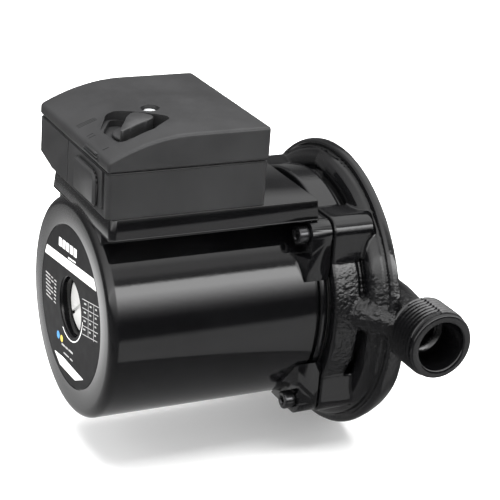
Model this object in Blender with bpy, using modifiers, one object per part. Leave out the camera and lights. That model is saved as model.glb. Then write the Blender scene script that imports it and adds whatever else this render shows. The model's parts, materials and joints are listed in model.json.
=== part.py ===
"""Wet-rotor heating circulator pump with a three-speed terminal box.

Metres, +Z up. The origin is where the axis of the two ports crosses the axis of the shaft.
The ports lie along Y, the shaft along X: the motor is on the -X side, the volute on the +X side,
and the terminal box stands on the motor.
"""
import math

import bmesh
import bpy
from mathutils import Matrix, Vector

# ---- driving dimensions ---------------------------------------------------------------------
GAP = 0.0003                    # clearance between neighbouring pieces

PORT_SPAN = 0.180               # face to face of the two ports
THREAD_RADIUS = 0.033249 / 2    # G 1 crest
THREAD_PITCH = 0.0254 / 11
THREAD_DEPTH = 0.64 * THREAD_PITCH
THREAD_TURNS = 8
PORT_RING = 0.0158              # plain ring at the end of each port
PORT_BORE = 0.0118

MOTOR_RADIUS = 0.0520
MOTOR_REAR = -0.1460            # flat rear face
MOTOR_FRONT = -0.0390           # face towards the pump housing
MOTOR_WALL = 0.0040
PUMP_FACE = -0.0370             # face of the pump housing towards the motor
DRUM_RADIUS = 0.0570
DRUM_BACK = -0.0240
DISC_RADIUS = 0.0707
DISC_DROP = -0.0024             # the volute hangs a little below the shaft
DISC_FRONT = -0.0204
DISC_BACK = -0.0090
VOLUTE_RADIUS = 0.0592          # middle of the spiral channel
VOLUTE_X = -0.0147
VOLUTE_SHIFT = 0.42             # how far its middle moves back for each metre that it widens

BOLT_SQUARE = 0.0420            # half the spacing of the four flange bolts
BOLT_RADIUS = 0.0025            # M5
BOLT_SEAT = -0.0485
POCKET_RADIUS = 0.0098          # room for the bolt head and the key behind each motor lug

BOX_REAR = -0.1476              # terminal box
BOX_FRONT = -0.0718
BOX_NEAR = -0.0442              # its two long sides, near and far
BOX_FAR = 0.0426
BOX_FLOOR = 0.0597
BOX_SLANT_Y = 0.0300            # beyond this line the floor rises towards the far side
BOX_SLANT_RISE = 0.12
GLAND_X, GLAND_Z = -0.1120, 0.0715
BOX_SEAM = 0.0800
BOX_TOP = 0.0958
BOX_WALL = 0.0030
CROWN_START = -0.1080           # the lid is flat in front of this line and curves down behind it
CROWN_RADIUS = 0.0770

KNOB_X, KNOB_Y = -0.1254, -0.0179
KNOB_RADIUS = 0.0098
KNOB_AIM = 40                   # degrees from +X to the wide end of the knob's arrow
PIT_ROUNDS = ((-0.0040, 0.0138, 0.0043), (0.0104, -0.0026, 0.0043), (0.0015, -0.0085, 0.0050),
              (-0.0086, -0.0102, 0.0055), (-0.0092, 0.0015, 0.0060))   # the pit wraps these circles
PIT_FLOOR = 0.0866
LID_SCREW_X, LID_SCREW_Y = -0.1134, -0.0060
BASE_SCREWS = ((-0.0800, -0.0340), (-0.0800, 0.0205))
PLATE_TOP = 0.0586              # the flat seat of the terminal box on the motor
DUCT_X = -0.0975                # passage for the wires between motor and box

SHAFT_RADIUS = 0.0040
CAN_RADIUS = 0.0252
CAN_WALL = 0.0006
CAN_REAR = -0.1257
BLEED_RADIUS = 0.0130

BLACK_PAINT = ("black_paint", (0.012, 0.012, 0.013), 0.22, 0.0)
BLACK_PLASTIC = ("black_plastic", (0.030, 0.030, 0.031), 0.48, 0.0)
BLACK_STEEL = ("black_steel", (0.020, 0.020, 0.021), 0.30, 1.0)
PRINTED_FOIL = ("printed_foil", (0.015, 0.015, 0.016), 0.40, 0.0)
PLATED = ("nickel_plated", (0.75, 0.75, 0.74), 0.22, 1.0)
ZINC = ("zinc_steel", (0.70, 0.71, 0.72), 0.28, 1.0)
STAINLESS = ("stainless_steel", (0.60, 0.60, 0.59), 0.25, 1.0)
LAMINATION = ("lamination_steel", (0.28, 0.28, 0.29), 0.45, 1.0)
COPPER = ("enamelled_copper", (0.55, 0.22, 0.09), 0.35, 1.0)
CERAMIC = ("ceramic", (0.82, 0.80, 0.76), 0.25, 0.0)
CARBON = ("carbon", (0.03, 0.03, 0.03), 0.50, 0.0)
RUBBER = ("rubber", (0.020, 0.020, 0.020), 0.80, 0.0)
IMPELLER_PLASTIC = ("impeller_plastic", (0.05, 0.05, 0.055), 0.40, 0.0)
BRASS = ("brass", (0.70, 0.50, 0.20), 0.30, 1.0)
GREY_PLASTIC = ("grey_plastic", (0.45, 0.46, 0.47), 0.45, 0.0)


# ---- helpers --------------------------------------------------------------------------------
def clear_scene():
    for obj in list(bpy.data.objects):
        bpy.data.objects.remove(obj, do_unlink=True)


def new_collection(name):
    group = bpy.data.collections.new(name)
    bpy.context.scene.collection.children.link(group)
    return group


def material(finish):
    name, colour, roughness, metallic = finish
    found = bpy.data.materials.get(name)
    if found:
        return found
    made = bpy.data.materials.new(name)
    made.use_nodes = True
    shader = made.node_tree.nodes["Principled BSDF"]
    shader.inputs["Base Color"].default_value = (*colour, 1.0)
    shader.inputs["Roughness"].default_value = roughness
    shader.inputs["Metallic"].default_value = metallic
    return made


def place(name, mesh, finish=None):
    """Link a mesh as a part, or as a cutter or an addition when it has no finish."""
    obj = bpy.data.objects.new(name, mesh)
    if finish:
        mesh.materials.append(material(finish))
        PARTS.objects.link(obj)
    else:
        obj.hide_render = True
        obj.display_type = "WIRE"
        CUTTERS.objects.link(obj)
    return obj


def mesh_from(bm, name):
    mesh = bpy.data.meshes.new(name)
    bm.to_mesh(mesh)
    bm.free()
    return mesh


def weld(mesh):
    """Join the loose caps of a mesh made from a curve, and turn its faces outwards."""
    bm = bmesh.new()
    bm.from_mesh(mesh)
    bmesh.ops.remove_doubles(bm, verts=bm.verts, dist=0.000001)
    bmesh.ops.recalc_face_normals(bm, faces=bm.faces)
    bm.to_mesh(mesh)
    bm.free()


def block(name, low, high, finish=None, bevel=0.0, segments=2):
    bm = bmesh.new()
    bmesh.ops.create_cube(bm, size=1.0)
    low, high = Vector(low), Vector(high)
    bmesh.ops.scale(bm, vec=high - low, verts=bm.verts)
    obj = place(name, mesh_from(bm, name), finish)
    obj.location = (low + high) / 2
    if bevel:
        add_bevel(obj, bevel, segments)
    return obj


def add_bevel(obj, width, segments=2, angle=40):
    edges = obj.modifiers.new("Edges", "BEVEL")
    edges.width = width
    edges.segments = segments
    edges.limit_method = "ANGLE"
    edges.angle_limit = math.radians(angle)


def rod(name, start, end, radius, finish=None, end_radius=None, sides=24):
    """A round bar from start to end, which may taper."""
    start, end = Vector(start), Vector(end)
    bm = bmesh.new()
    bmesh.ops.create_cone(bm, cap_ends=True, segments=sides, radius1=radius,
                          radius2=radius if end_radius is None else end_radius,
                          depth=(end - start).length)
    obj = place(name, mesh_from(bm, name), finish)
    obj.location = (start + end) / 2
    obj.rotation_euler = (end - start).to_track_quat("Z", "Y").to_euler()
    return obj


def turned(name, profile, finish=None, axis="X", at=(0.0, 0.0, 0.0), steps=36, closed=False,
           phase=0.0):
    """Turn (place on the axis, radius) points round an axis through at.

    The profile runs down the outer side, from the greatest place on the axis to the smallest.
    The phase, in degrees, turns the facets, so that two joined pieces share no facet edge.
    """
    mesh = bpy.data.meshes.new(name)
    cos, sin = math.cos(math.radians(phase)), math.sin(math.radians(phase))
    points = [(radius * cos, radius * sin, along) for along, radius in profile]
    edges = [(i, i + 1) for i in range(len(points) - 1)]
    if closed:
        edges.append((len(points) - 1, 0))
    mesh.from_pydata(points, edges, [])
    obj = place(name, mesh, finish)
    obj.location = at
    obj.rotation_euler = {"X": (0, math.pi / 2, 0), "Y": (-math.pi / 2, 0, 0), "Z": (0, 0, 0)}[axis]
    screw = obj.modifiers.new("Turn", "SCREW")
    screw.steps = screw.render_steps = steps
    screw.use_merge_vertices = True
    screw.merge_threshold = 0.00001
    return obj


def ring(name, low, high, inner, outer, finish=None, axis="X", at=(0.0, 0.0, 0.0), steps=36):
    profile = [(high, outer), (low, outer), (low, inner), (high, inner)]
    return turned(name, profile, finish, axis, at, steps, closed=True)


def slab(name, outline, low, high, finish=None, axis="Z", at=(0.0, 0.0, 0.0)):
    """A flat outline given thickness along an axis.

    The outline is in XY for axis Z, in YZ for axis X, and in XZ for axis Y.
    """
    curve = bpy.data.curves.new(name, "CURVE")
    curve.dimensions = "2D"
    curve.fill_mode = "BOTH"
    curve.extrude = (high - low) / 2
    spline = curve.splines.new("POLY")
    spline.points.add(len(outline) - 1)
    for point, (u, v) in zip(spline.points, outline):
        point.co = (u, v, 0.0, 1.0)
    spline.use_cyclic_u = True
    drawn = bpy.data.objects.new(name + "_outline", curve)
    bpy.context.scene.collection.objects.link(drawn)
    evaluated = drawn.evaluated_get(bpy.context.evaluated_depsgraph_get())
    mesh = bpy.data.meshes.new_from_object(evaluated)
    bpy.data.objects.remove(drawn, do_unlink=True)
    middle = Matrix.Translation((0.0, 0.0, (low + high) / 2))
    turn = {"Z": Matrix.Identity(4),
            "X": Matrix(((0, 0, 1, 0), (1, 0, 0, 0), (0, 1, 0, 0), (0, 0, 0, 1))),
            "Y": Matrix(((1, 0, 0, 0), (0, 0, 1, 0), (0, 1, 0, 0), (0, 0, 0, 1)))}[axis]
    mesh.transform(turn @ middle)
    weld(mesh)
    obj = place(name, mesh, finish)
    obj.location = at
    return obj


def combine(target, tool, operation):
    """Cut a tool out of a part, or join it on; the tool stays as a hidden guide."""
    boolean = target.modifiers.new(operation.title(), "BOOLEAN")
    boolean.operation = operation
    boolean.solver = "EXACT"
    boolean.object = tool
    return target


def cut(target, *tools):
    for tool in tools:
        combine(target, tool, "DIFFERENCE")


def join(target, *tools):
    for tool in tools:
        combine(target, tool, "UNION")


def mirrored(obj):
    """Repeat a tool that lies in the -Y +Z quarter in all four quarters round the shaft."""
    copy = obj.modifiers.new("Quarters", "MIRROR")
    copy.use_axis = (False, True, True)
    copy.merge_threshold = 0.00001
    centre = bpy.data.objects.get("quarter_centre")
    if not centre:
        centre = bpy.data.objects.new("quarter_centre", None)
        CUTTERS.objects.link(centre)
    copy.mirror_object = centre
    return obj


def arc(centre, radius, start, end, steps):
    """Points on a circle, angles in degrees."""
    return [(centre[0] + radius * math.cos(math.radians(start + (end - start) * i / steps)),
             centre[1] + radius * math.sin(math.radians(start + (end - start) * i / steps)))
            for i in range(steps + 1)]


def crown(x):
    """Height of the lid's outer surface at x."""
    return BOX_TOP - max(0.0, CROWN_START - x) ** 2 / (2 * CROWN_RADIUS)


# ---- pump housing ---------------------------------------------------------------------------
def port(side):
    """One threaded port, as a solid; side is -1 for the near port and 1 for the far one."""
    face = PORT_SPAN / 2
    root = THREAD_RADIUS - THREAD_DEPTH
    profile = [(face, 0.0), (face, PORT_RING - 0.0008), (face - 0.0008, PORT_RING),
               (face - 0.0026, PORT_RING), (face - 0.0030, root)]
    along = face - 0.0034
    for _ in range(THREAD_TURNS):
        profile.append((along - THREAD_PITCH / 2, THREAD_RADIUS))
        along -= THREAD_PITCH
        profile.append((along, root))
    profile += [(along - 0.0010, root), (along - 0.0022, 0.0095), (0.0620, 0.0095), (0.0620, 0.0)]
    tool = turned(f"port_{'far' if side > 0 else 'near'}", profile, axis="Y", steps=24)
    if side < 0:
        tool.rotation_euler = (math.pi / 2, 0, 0)
    return tool


def pipe(name, stops, sides=12):
    """A round pipe through (x, y, z, radius) stops, as a solid."""
    curve = bpy.data.curves.new(name, "CURVE")
    curve.dimensions = "3D"
    curve.bevel_depth = 1.0
    curve.bevel_resolution = sides // 2 - 2
    curve.use_fill_caps = True
    curve.twist_mode = "MINIMUM"
    spline = curve.splines.new("POLY")
    spline.points.add(len(stops) - 1)
    for point, (x, y, z, radius) in zip(spline.points, stops):
        point.co = (x, y, z, 1.0)
        point.radius = radius
    drawn = bpy.data.objects.new(name + "_path", curve)
    bpy.context.scene.collection.objects.link(drawn)
    evaluated = drawn.evaluated_get(bpy.context.evaluated_depsgraph_get())
    mesh = bpy.data.meshes.new_from_object(evaluated)
    bpy.data.objects.remove(drawn, do_unlink=True)
    weld(mesh)
    return place(name, mesh)


def volute_channel(name, start_radius, end_radius, first, last, steps, sides):
    """The spiral channel round the impeller; it grows, mostly backwards, from first to last."""
    stops = []
    for i in range(steps + 1):
        angle = math.radians(first + (last - first) * i / steps)
        grown = (end_radius - start_radius) * i / steps
        stops.append((VOLUTE_X + VOLUTE_SHIFT * grown, VOLUTE_RADIUS * math.cos(angle),
                      VOLUTE_RADIUS * math.sin(angle) + DISC_DROP, start_radius + grown))
    return pipe(name, stops, sides)


def flange_corner(name, front, back, radius, reach):
    """The corner pad that carries one flange bolt: flat towards -Y and +Z, round at the bolt."""
    edge = BOLT_SQUARE + radius
    outline = [(-edge, reach)]
    outline += arc((-BOLT_SQUARE, BOLT_SQUARE), radius, 180, 90, 6)
    outline += [(-reach, edge), (-0.034, 0.034)]
    return slab(name, outline, min(front, back), max(front, back), axis="X")


def build_pump_housing():
    drum = [(DISC_BACK - 0.0010, 0.0), (DISC_BACK - 0.0010, 0.0530), (DRUM_BACK + 0.0040, 0.0530),
            (DRUM_BACK, DRUM_RADIUS), (PUMP_FACE + 0.0008, DRUM_RADIUS),
            (PUMP_FACE, DRUM_RADIUS - 0.0008), (PUMP_FACE, 0.0)]
    housing = turned("pump_housing", drum, BLACK_PAINT, steps=40)

    disc = turned("volute_disc", [
        (DISC_BACK, 0.0), (DISC_BACK, DISC_RADIUS - 0.0055), (DISC_BACK - 0.0014, DISC_RADIUS - 0.0022),
        (DISC_BACK - 0.0036, DISC_RADIUS), (DISC_BACK - 0.0062, DISC_RADIUS - 0.0003),
        (DISC_BACK - 0.0086, DISC_RADIUS - 0.0022), (DISC_FRONT + 0.0010, DISC_RADIUS - 0.0046),
        (DISC_FRONT, DISC_RADIUS - 0.0080), (DISC_FRONT, 0.0)],
        at=(0.0, 0.0, DISC_DROP), steps=44, phase=1.3)
    spiral = volute_channel("volute_spiral", 0.0052, 0.0095, 88, 362, 18, 10)
    bosses = mirrored(flange_corner("bolt_bosses", PUMP_FACE, -0.0175, 0.0075, 0.0290))
    dome = turned("suction_dome", [(0.0165, 0.0), (0.0165, 0.0150), (0.0140, 0.0195),
                                   (0.0080, 0.0225), (-0.0110, 0.0245), (-0.0110, 0.0)],
                  at=(0.0, 0.0, -0.0004), steps=24, phase=2.9)
    suction = pipe("suction_pipe", [(0.0, -0.0700, 0.0, 0.0113), (0.0, -0.0620, 0.0, 0.0113),
                                    (0.0026, -0.0440, -0.0015, 0.0122),
                                    (0.0030, -0.0040, -0.0015, 0.0122)])
    flare = rod("neck_flare", (0.0004, -0.0665, 0.0003), (-0.0040, -0.0480, -0.0010), 0.0100,
                end_radius=0.0168, sides=22)
    outlet = pipe("outlet_pipe", [(0.0, 0.0700, 0.0, 0.0113), (-0.0010, 0.0650, 0.0, 0.0124),
                                  (-0.0080, 0.0480, 0.0, 0.0150)])
    join(housing, disc, spiral, bosses, dome, suction, flare, outlet, port(-1), port(1))

    mouth = PUMP_FACE - 0.001
    chamber = turned("impeller_chamber", [
        (0.0120, 0.0), (0.0120, 0.0150), (0.0090, 0.0180), (-0.0080, 0.0180), (-0.0080, 0.0190),
        (-0.0185, 0.0190), (-0.0185, 0.0400), (-0.0125, 0.0400), (-0.0125, 0.0560),
        (-0.0168, 0.0560), (-0.0168, 0.0470), (-0.0320, 0.0470), (-0.0320, 0.0440),
        (mouth, 0.0440), (mouth, 0.0)], steps=28, phase=2.1)
    channel = volute_channel("volute_bore", 0.0026, 0.0060, 101, 352, 14, 8)
    cut(housing, chamber, channel)
    face = PORT_SPAN / 2 + 0.001
    for side, name in ((-1, "near"), (1, "far")):
        cut(housing, rod(f"port_bore_{name}", (0, side * face, 0), (0, side * 0.0710, 0), PORT_BORE,
                         sides=32))
    cut(housing, pipe("suction_bore", [(0.0, -0.0720, 0.0, 0.0095), (0.0028, -0.0460, -0.0015, 0.0080),
                                       (0.0032, -0.0010, -0.0015, 0.0080)], 14))
    cut(housing, rod("outlet_bore", (0, 0.0720, 0), (-0.0140, 0.0540, -0.0030), 0.0095,
                     end_radius=0.0058))
    holes = rod("boss_holes", (PUMP_FACE - 0.001, -BOLT_SQUARE, BOLT_SQUARE),
                (-0.0235, -BOLT_SQUARE, BOLT_SQUARE), BOLT_RADIUS + GAP, sides=16)
    cut(housing, mirrored(holes))
    return housing


def build_wear_ring():
    ring("wear_ring", -0.0180, -0.0086, 0.0162, 0.0187, STAINLESS, steps=24)


def build_housing_gasket():
    ring("housing_gasket", PUMP_FACE - 0.0008, PUMP_FACE - GAP, 0.0442, 0.0500, RUBBER)


# ---- rotor ----------------------------------------------------------------------------------
def build_rotor():
    turned("rotor_shaft", [(-0.0175, 0.0), (-0.0175, SHAFT_RADIUS - 0.0005),
                           (-0.0180, SHAFT_RADIUS), (-0.1225, SHAFT_RADIUS),
                           (-0.1230, SHAFT_RADIUS - 0.0005), (-0.1230, 0.0)], CERAMIC, steps=16)
    bore = SHAFT_RADIUS + GAP
    ring("rotor_core", -0.1120, -0.0660, bore, 0.0236, STAINLESS, steps=32)
    ring("thrust_ring", -0.0625, -0.0560, bore, 0.0085, CARBON, steps=18)
    ring("impeller_clip", -0.0205, -0.0180, bore, 0.0068, STAINLESS, steps=16)


def build_impeller():
    """Closed impeller: back shroud with hub, six backswept vanes, front shroud with eye neck."""
    bore = SHAFT_RADIUS + GAP
    impeller = turned("impeller", [(-0.0208, bore), (-0.0208, 0.0080), (-0.0318, 0.0100),
                                   (-0.0318, 0.0400), (-0.0334, 0.0400), (-0.0334, bore)],
                      IMPELLER_PLASTIC, steps=28, closed=True)
    front = turned("front_shroud", [(-0.0100, 0.0136), (-0.0100, 0.0156), (-0.0192, 0.0156),
                                    (-0.0196, 0.0165), (-0.0208, 0.0400), (-0.0224, 0.0400),
                                    (-0.0214, 0.0150), (-0.0206, 0.0136)],
                   steps=28, closed=True, phase=1.9)
    bm = bmesh.new()
    for blade in range(6):
        turn = 2 * math.pi * blade / 6
        outline = []
        for offset in (-0.0008, 0.0008):
            side = []
            for i in range(5):
                radius = 0.0120 + (0.0395 - 0.0120) * i / 4
                angle = turn - 1.15 * (i / 4) ** 0.8
                side.append(Vector((0.0, (radius * math.cos(angle) - offset * math.sin(angle)),
                                    radius * math.sin(angle) + offset * math.cos(angle))))
            outline.append(side)
        loop = outline[0] + outline[1][::-1]
        face = bm.faces.new([bm.verts.new((-0.0322, p.y, p.z)) for p in loop])
        grown = bmesh.ops.extrude_face_region(bm, geom=[face])["geom"]
        rise = [v for v in grown if isinstance(v, bmesh.types.BMVert)]
        bmesh.ops.translate(bm, vec=(0.0112, 0.0, 0.0), verts=rise)
    bmesh.ops.recalc_face_normals(bm, faces=bm.faces)
    vanes = place("impeller_vanes", mesh_from(bm, "impeller_vanes"))
    join(impeller, vanes, front)


def build_bearings():
    ring("front_bearing", -0.0555, -0.0462, SHAFT_RADIUS + GAP, 0.0095, CERAMIC, steps=18)
    ring("rear_bearing", -0.1222, -0.1150, SHAFT_RADIUS + GAP, 0.0095, CERAMIC, steps=18)
    ring("rear_bearing_holder", -0.1246, -0.1190, 0.0098, 0.0243, STAINLESS, steps=24)
    plate = turned("bearing_plate", [
        (-0.0405, 0.0060), (-0.0405, 0.0243), (-0.0425, 0.0243), (-0.0425, 0.0125),
        (-0.0555, 0.0125), (-0.0555, 0.0098), (-0.0440, 0.0098), (-0.0440, 0.0060)],
        STAINLESS, steps=24, closed=True)
    for hole in range(4):
        angle = math.pi / 4 + hole * math.pi / 2
        y, z = 0.0185 * math.cos(angle), 0.0185 * math.sin(angle)
        cut(plate, rod(f"plate_hole_{hole + 1}", (-0.0440, y, z), (-0.0390, y, z), 0.0020, sides=12))


def build_rotor_can():
    inner = CAN_RADIUS - CAN_WALL
    front, seat = -0.0381, -0.0387
    turned("rotor_can", [
        (front, 0.0495), (seat, 0.0495), (seat, CAN_RADIUS), (CAN_REAR, CAN_RADIUS),
        (CAN_REAR, 0.0087), (CAN_REAR + CAN_WALL, 0.0087), (CAN_REAR + CAN_WALL, inner),
        (front, inner)], STAINLESS, closed=True)


# ---- motor ----------------------------------------------------------------------------------
def build_stator():
    core = ring("stator_core", -0.1120, -0.0660, CAN_RADIUS + GAP, MOTOR_RADIUS - MOTOR_WALL - GAP,
                LAMINATION)
    for slot in range(12):
        angle = 2 * math.pi * (slot + 0.1) / 12
        y, z = 0.0265 * math.cos(angle), 0.0265 * math.sin(angle)
        cut(core, rod(f"stator_slot_{slot + 1}", (-0.1130, y, z), (-0.0650, y, z), 0.0022, sides=6))
    for name, low, high in (("rear_winding", -0.1235, -0.1124), ("front_winding", -0.0656, -0.0500)):
        winding = ring(name, low, high, 0.0285, 0.0440, COPPER, steps=24)
        add_bevel(winding, 0.0035, 1)


def build_motor_housing():
    inner = MOTOR_RADIUS - MOTOR_WALL
    rim = MOTOR_RADIUS
    rear = MOTOR_REAR
    profile = [(MOTOR_FRONT, 0.0), (MOTOR_FRONT, rim - 0.0012),
               (MOTOR_FRONT - 0.0006, rim - 0.0006),
               (MOTOR_FRONT - 0.0032, rim - 0.0006), (MOTOR_FRONT - 0.0036, rim - 0.0028),
               (MOTOR_FRONT - 0.0054, rim - 0.0028), (MOTOR_FRONT - 0.0060, rim)]
    profile += arc((rear + 0.0045, rim - 0.0045), 0.0045, 90, 180, 3)
    profile += [(rear, 0.0388), (rear + 0.0006, 0.0388), (rear + 0.0006, 0.0)]
    housing = turned("motor_housing", profile, BLACK_PAINT, steps=44)
    hollow = turned("motor_hollow", [
        (MOTOR_FRONT + 0.001, 0.0), (MOTOR_FRONT + 0.001, inner), (-0.1415, inner),
        (-0.1415, 0.0180), (-0.1260, 0.0180), (-0.1260, 0.0094), (-0.1340, 0.0094),
        (-0.1340, 0.0140), (rear - 0.001, 0.0140), (rear - 0.001, 0.0)], steps=32, phase=1.7)

    web = block("pedestal_web", (-0.1440, -0.0300, 0.0350), (-0.0500, 0.0240, 0.0520))
    plate = slab("pedestal_plate", [(-0.0440, -0.0442), (-0.0440, 0.0284), (-0.1455, 0.0284)]
                 + arc((-0.1428, -0.0415), 0.0027, 180, 270, 4), 0.0512, PLATE_TOP)
    add_bevel(plate, 0.0005, 1)
    lug = flange_corner("motor_lugs", MOTOR_FRONT, -0.0560, 0.0068, 0.0210)
    slope = slab("lug_slope", [(-0.0500, -0.0600), (-0.0500, -0.0490), (-0.0545, -0.0385),
                               (-0.0545, -0.0200), (-0.0700, -0.0200), (-0.0700, -0.0600)],
                 0.0, 0.0600, axis="Z")
    cut(lug, slope, block("lug_relief", (-0.0700, -0.0600, 0.0322), (BOLT_SEAT, 0.0, 0.0600)))
    join(housing, web, plate, mirrored(lug))

    pocket = rod("bolt_pockets", (BOLT_SEAT, -BOLT_SQUARE, BOLT_SQUARE),
                 (-0.0620, -BOLT_SQUARE, BOLT_SQUARE), POCKET_RADIUS, sides=28)
    hole = rod("lug_holes", (-0.0600, -BOLT_SQUARE, BOLT_SQUARE),
               (MOTOR_FRONT + 0.001, -BOLT_SQUARE, BOLT_SQUARE), BOLT_RADIUS + GAP, sides=16)
    cut(housing, mirrored(pocket), mirrored(hole), hollow)
    cut(housing, rod("wire_duct", (DUCT_X, 0.0, 0.0440), (DUCT_X, 0.0, 0.0600), 0.0050))
    for number, (x, y) in enumerate(BASE_SCREWS, start=1):
        cut(housing, rod(f"base_screw_hole_{number}", (x, y, 0.0498), (x, y, 0.0600),
                         0.0020 + GAP, sides=12))


def build_label():
    ring("rating_label", MOTOR_REAR + GAP / 2, MOTOR_REAR + 0.0006 - GAP / 2, 0.0143, 0.0384,
         PRINTED_FOIL, steps=44)


def build_bleed_screw():
    """Slotted plug that vents the rotor space, with its sealing ring."""
    head_back = -0.1376
    screw = turned("bleed_screw", [
        (-0.1275, 0.0), (-0.1275, 0.0084), (-0.1283, 0.0090), (-0.1343, 0.0090),
        (-0.1343, 0.0103), (-0.1352, 0.0103), (-0.1352, BLEED_RADIUS),
        (head_back + 0.0006, BLEED_RADIUS), (head_back, BLEED_RADIUS - 0.0006), (head_back, 0.0)],
        PLATED, steps=28)
    cut(screw, block("bleed_slot", (head_back - 0.001, -0.0140, -0.0010),
                     (head_back + 0.0014, 0.0140, 0.0010)))
    ring("bleed_o_ring", -0.1349, -0.1343, 0.0106, 0.0130, RUBBER, steps=24)


def build_flange_bolts():
    corners = [(-1, 1), (1, 1), (1, -1), (-1, -1)]
    for number, (sy, sz) in enumerate(corners, start=1):
        y, z = sy * BOLT_SQUARE, sz * BOLT_SQUARE
        seat = BOLT_SEAT - GAP
        bolt = turned(f"flange_bolt_{number}", [
            (-0.0240, 0.0), (-0.0240, BOLT_RADIUS - 0.0004), (-0.0245, BOLT_RADIUS),
            (seat, BOLT_RADIUS), (seat, 0.0043), (seat - 0.0046, 0.0043),
            (seat - 0.0050, 0.0039), (seat - 0.0050, 0.0)], BLACK_STEEL, at=(0, y, z), steps=16)
        socket = rod(f"bolt_socket_{number}", (seat - 0.0060, y, z), (seat - 0.0025, y, z), 0.0023,
                     sides=6)
        cut(bolt, socket)


# ---- terminal box ---------------------------------------------------------------------------
def box_corners(inset):
    """Plan outline of the terminal box, with its corners rounded."""
    radius = 0.0022
    x0, x1, y0, y1 = BOX_REAR + inset, BOX_FRONT - inset, BOX_NEAR + inset, BOX_FAR - inset
    radius = max(0.0004, radius - inset)
    outline = []
    for cx, cy, start in ((x1, y1, 0), (x0, y1, 90), (x0, y0, 180), (x1, y0, 270)):
        inward = (cx - math.copysign(radius, cx - (x0 + x1) / 2), cy - math.copysign(radius, cy))
        outline += arc(inward, radius, start, start + 90, 3)
    return outline


def slanted_corner(name, lift):
    """Wedge that trims the far lower edge of the terminal box, raised by lift for its inside."""
    start, end = BOX_SLANT_Y - 0.0010, BOX_FAR + 0.0020
    low = BOX_FLOOR + lift
    outline = [(start, low - 0.0020), (end, low - 0.0020),
               (end, low + (end - BOX_SLANT_Y) * BOX_SLANT_RISE), (BOX_SLANT_Y, low), (start, low)]
    return slab(name, outline, BOX_REAR - 0.0050, BOX_FRONT + 0.0050, axis="X")


def build_terminal_box():
    floor = BOX_FLOOR + 0.0025
    base = slab("terminal_box_base", box_corners(0.0), BOX_FLOOR, BOX_SEAM, BLACK_PLASTIC)
    inside = slab("base_inside", box_corners(BOX_WALL), floor, BOX_SEAM + 0.001)
    cut(inside, slanted_corner("inside_slant", 0.0025))
    groove = slab("seal_groove", box_corners(0.0009), BOX_SEAM - 0.0011, BOX_SEAM + 0.001)
    groove_core = slab("seal_groove_core", box_corners(0.0023), BOX_SEAM - 0.002, BOX_SEAM + 0.002)
    cut(groove, groove_core)
    boss = slab("entry_boss", [(-0.0335, 0.0615), (-0.0075, 0.0615), (-0.0075, 0.0772),
                               (-0.0300, 0.0772), (-0.0335, 0.0737)],
                BOX_REAR - 0.0022, BOX_REAR + 0.0010, axis="X")
    add_bevel(boss, 0.0018, 1)
    join(base, boss)
    notch = block("corner_groove", (BOX_REAR - 0.001, -0.0411, 0.0615),
                  (BOX_REAR + 0.0010, -0.0379, 0.0790))
    cut(base, slanted_corner("base_slant", 0.0), notch, inside, groove)
    cut(base, rod("gland_hole", (GLAND_X, BOX_FAR - 0.0060, GLAND_Z),
                  (GLAND_X, BOX_FAR + 0.0030, GLAND_Z), 0.0062))
    cut(base, rod("duct_hole", (DUCT_X, 0.0, 0.0570), (DUCT_X, 0.0, 0.0640), 0.0050))

    seal = slab("lid_seal", box_corners(0.0013), BOX_SEAM - 0.0008, BOX_SEAM + 0.0001, RUBBER)
    cut(seal, slab("seal_core", box_corners(0.0019), BOX_SEAM - 0.002, BOX_SEAM + 0.002))

    gasket = block("base_gasket", (-0.1448, -0.0436, PLATE_TOP + GAP),
                   (-0.0724, 0.0240, BOX_FLOOR - GAP), RUBBER)
    cut(gasket, rod("gasket_duct", (DUCT_X, 0, 0.0570), (DUCT_X, 0, 0.0610), 0.0050))
    for number, (x, y) in enumerate(BASE_SCREWS, start=1):
        for piece, label in ((base, "base"), (gasket, "gasket")):
            cut(piece, rod(f"{label}_screw_pass_{number}", (x, y, 0.0570), (x, y, 0.0640),
                           0.0020 + GAP, sides=12))
        under = floor + GAP
        screw = turned(f"base_screw_{number}", [
            (under + 0.0024, 0.0), (under + 0.0024, 0.0034), (under, 0.0038), (under, 0.0020),
            (0.0515, 0.0020), (0.0505, 0.0010), (0.0505, 0.0)], ZINC, axis="Z", at=(x, y, 0.0),
            steps=12)
        for turn in (0, 90):
            blade = block(f"base_screw_cross_{number}_{turn}", (-0.0026, -0.0004, under + 0.0012),
                          (0.0026, 0.0004, under + 0.0030))
            blade.location = (x, y, blade.location.z)
            blade.rotation_euler = (0, 0, math.radians(turn))
            cut(screw, blade)


def lid_profile(inset, bottom):
    """Outline of the lid in XZ, with its curved top, moved inwards by inset."""
    x0, x1 = BOX_REAR - 0.0002 + inset, BOX_FRONT + 0.0003 - inset
    stops = [x0 + (x1 - x0) * i / 16 for i in range(17)]
    return [(x0, bottom)] + [(x, crown(x) - inset) for x in stops] + [(x1, bottom)]


def pit_outline(inset):
    """The knob's pit: a rounded shape with one flatter side towards the lid screw."""
    points = []
    for x, y, radius in PIT_ROUNDS:
        points += arc((KNOB_X + x, KNOB_Y + y), radius + inset, 0, 345, 23)
    points.sort()
    hull = []
    for run in (points, points[::-1]):
        side = []
        for p in run:
            while len(side) > 1 and ((side[-1][0] - side[-2][0]) * (p[1] - side[-2][1])
                                     <= (side[-1][1] - side[-2][1]) * (p[0] - side[-2][0])):
                side.pop()
            side.append(p)
        hull += side[:-1]
    return hull


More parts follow.
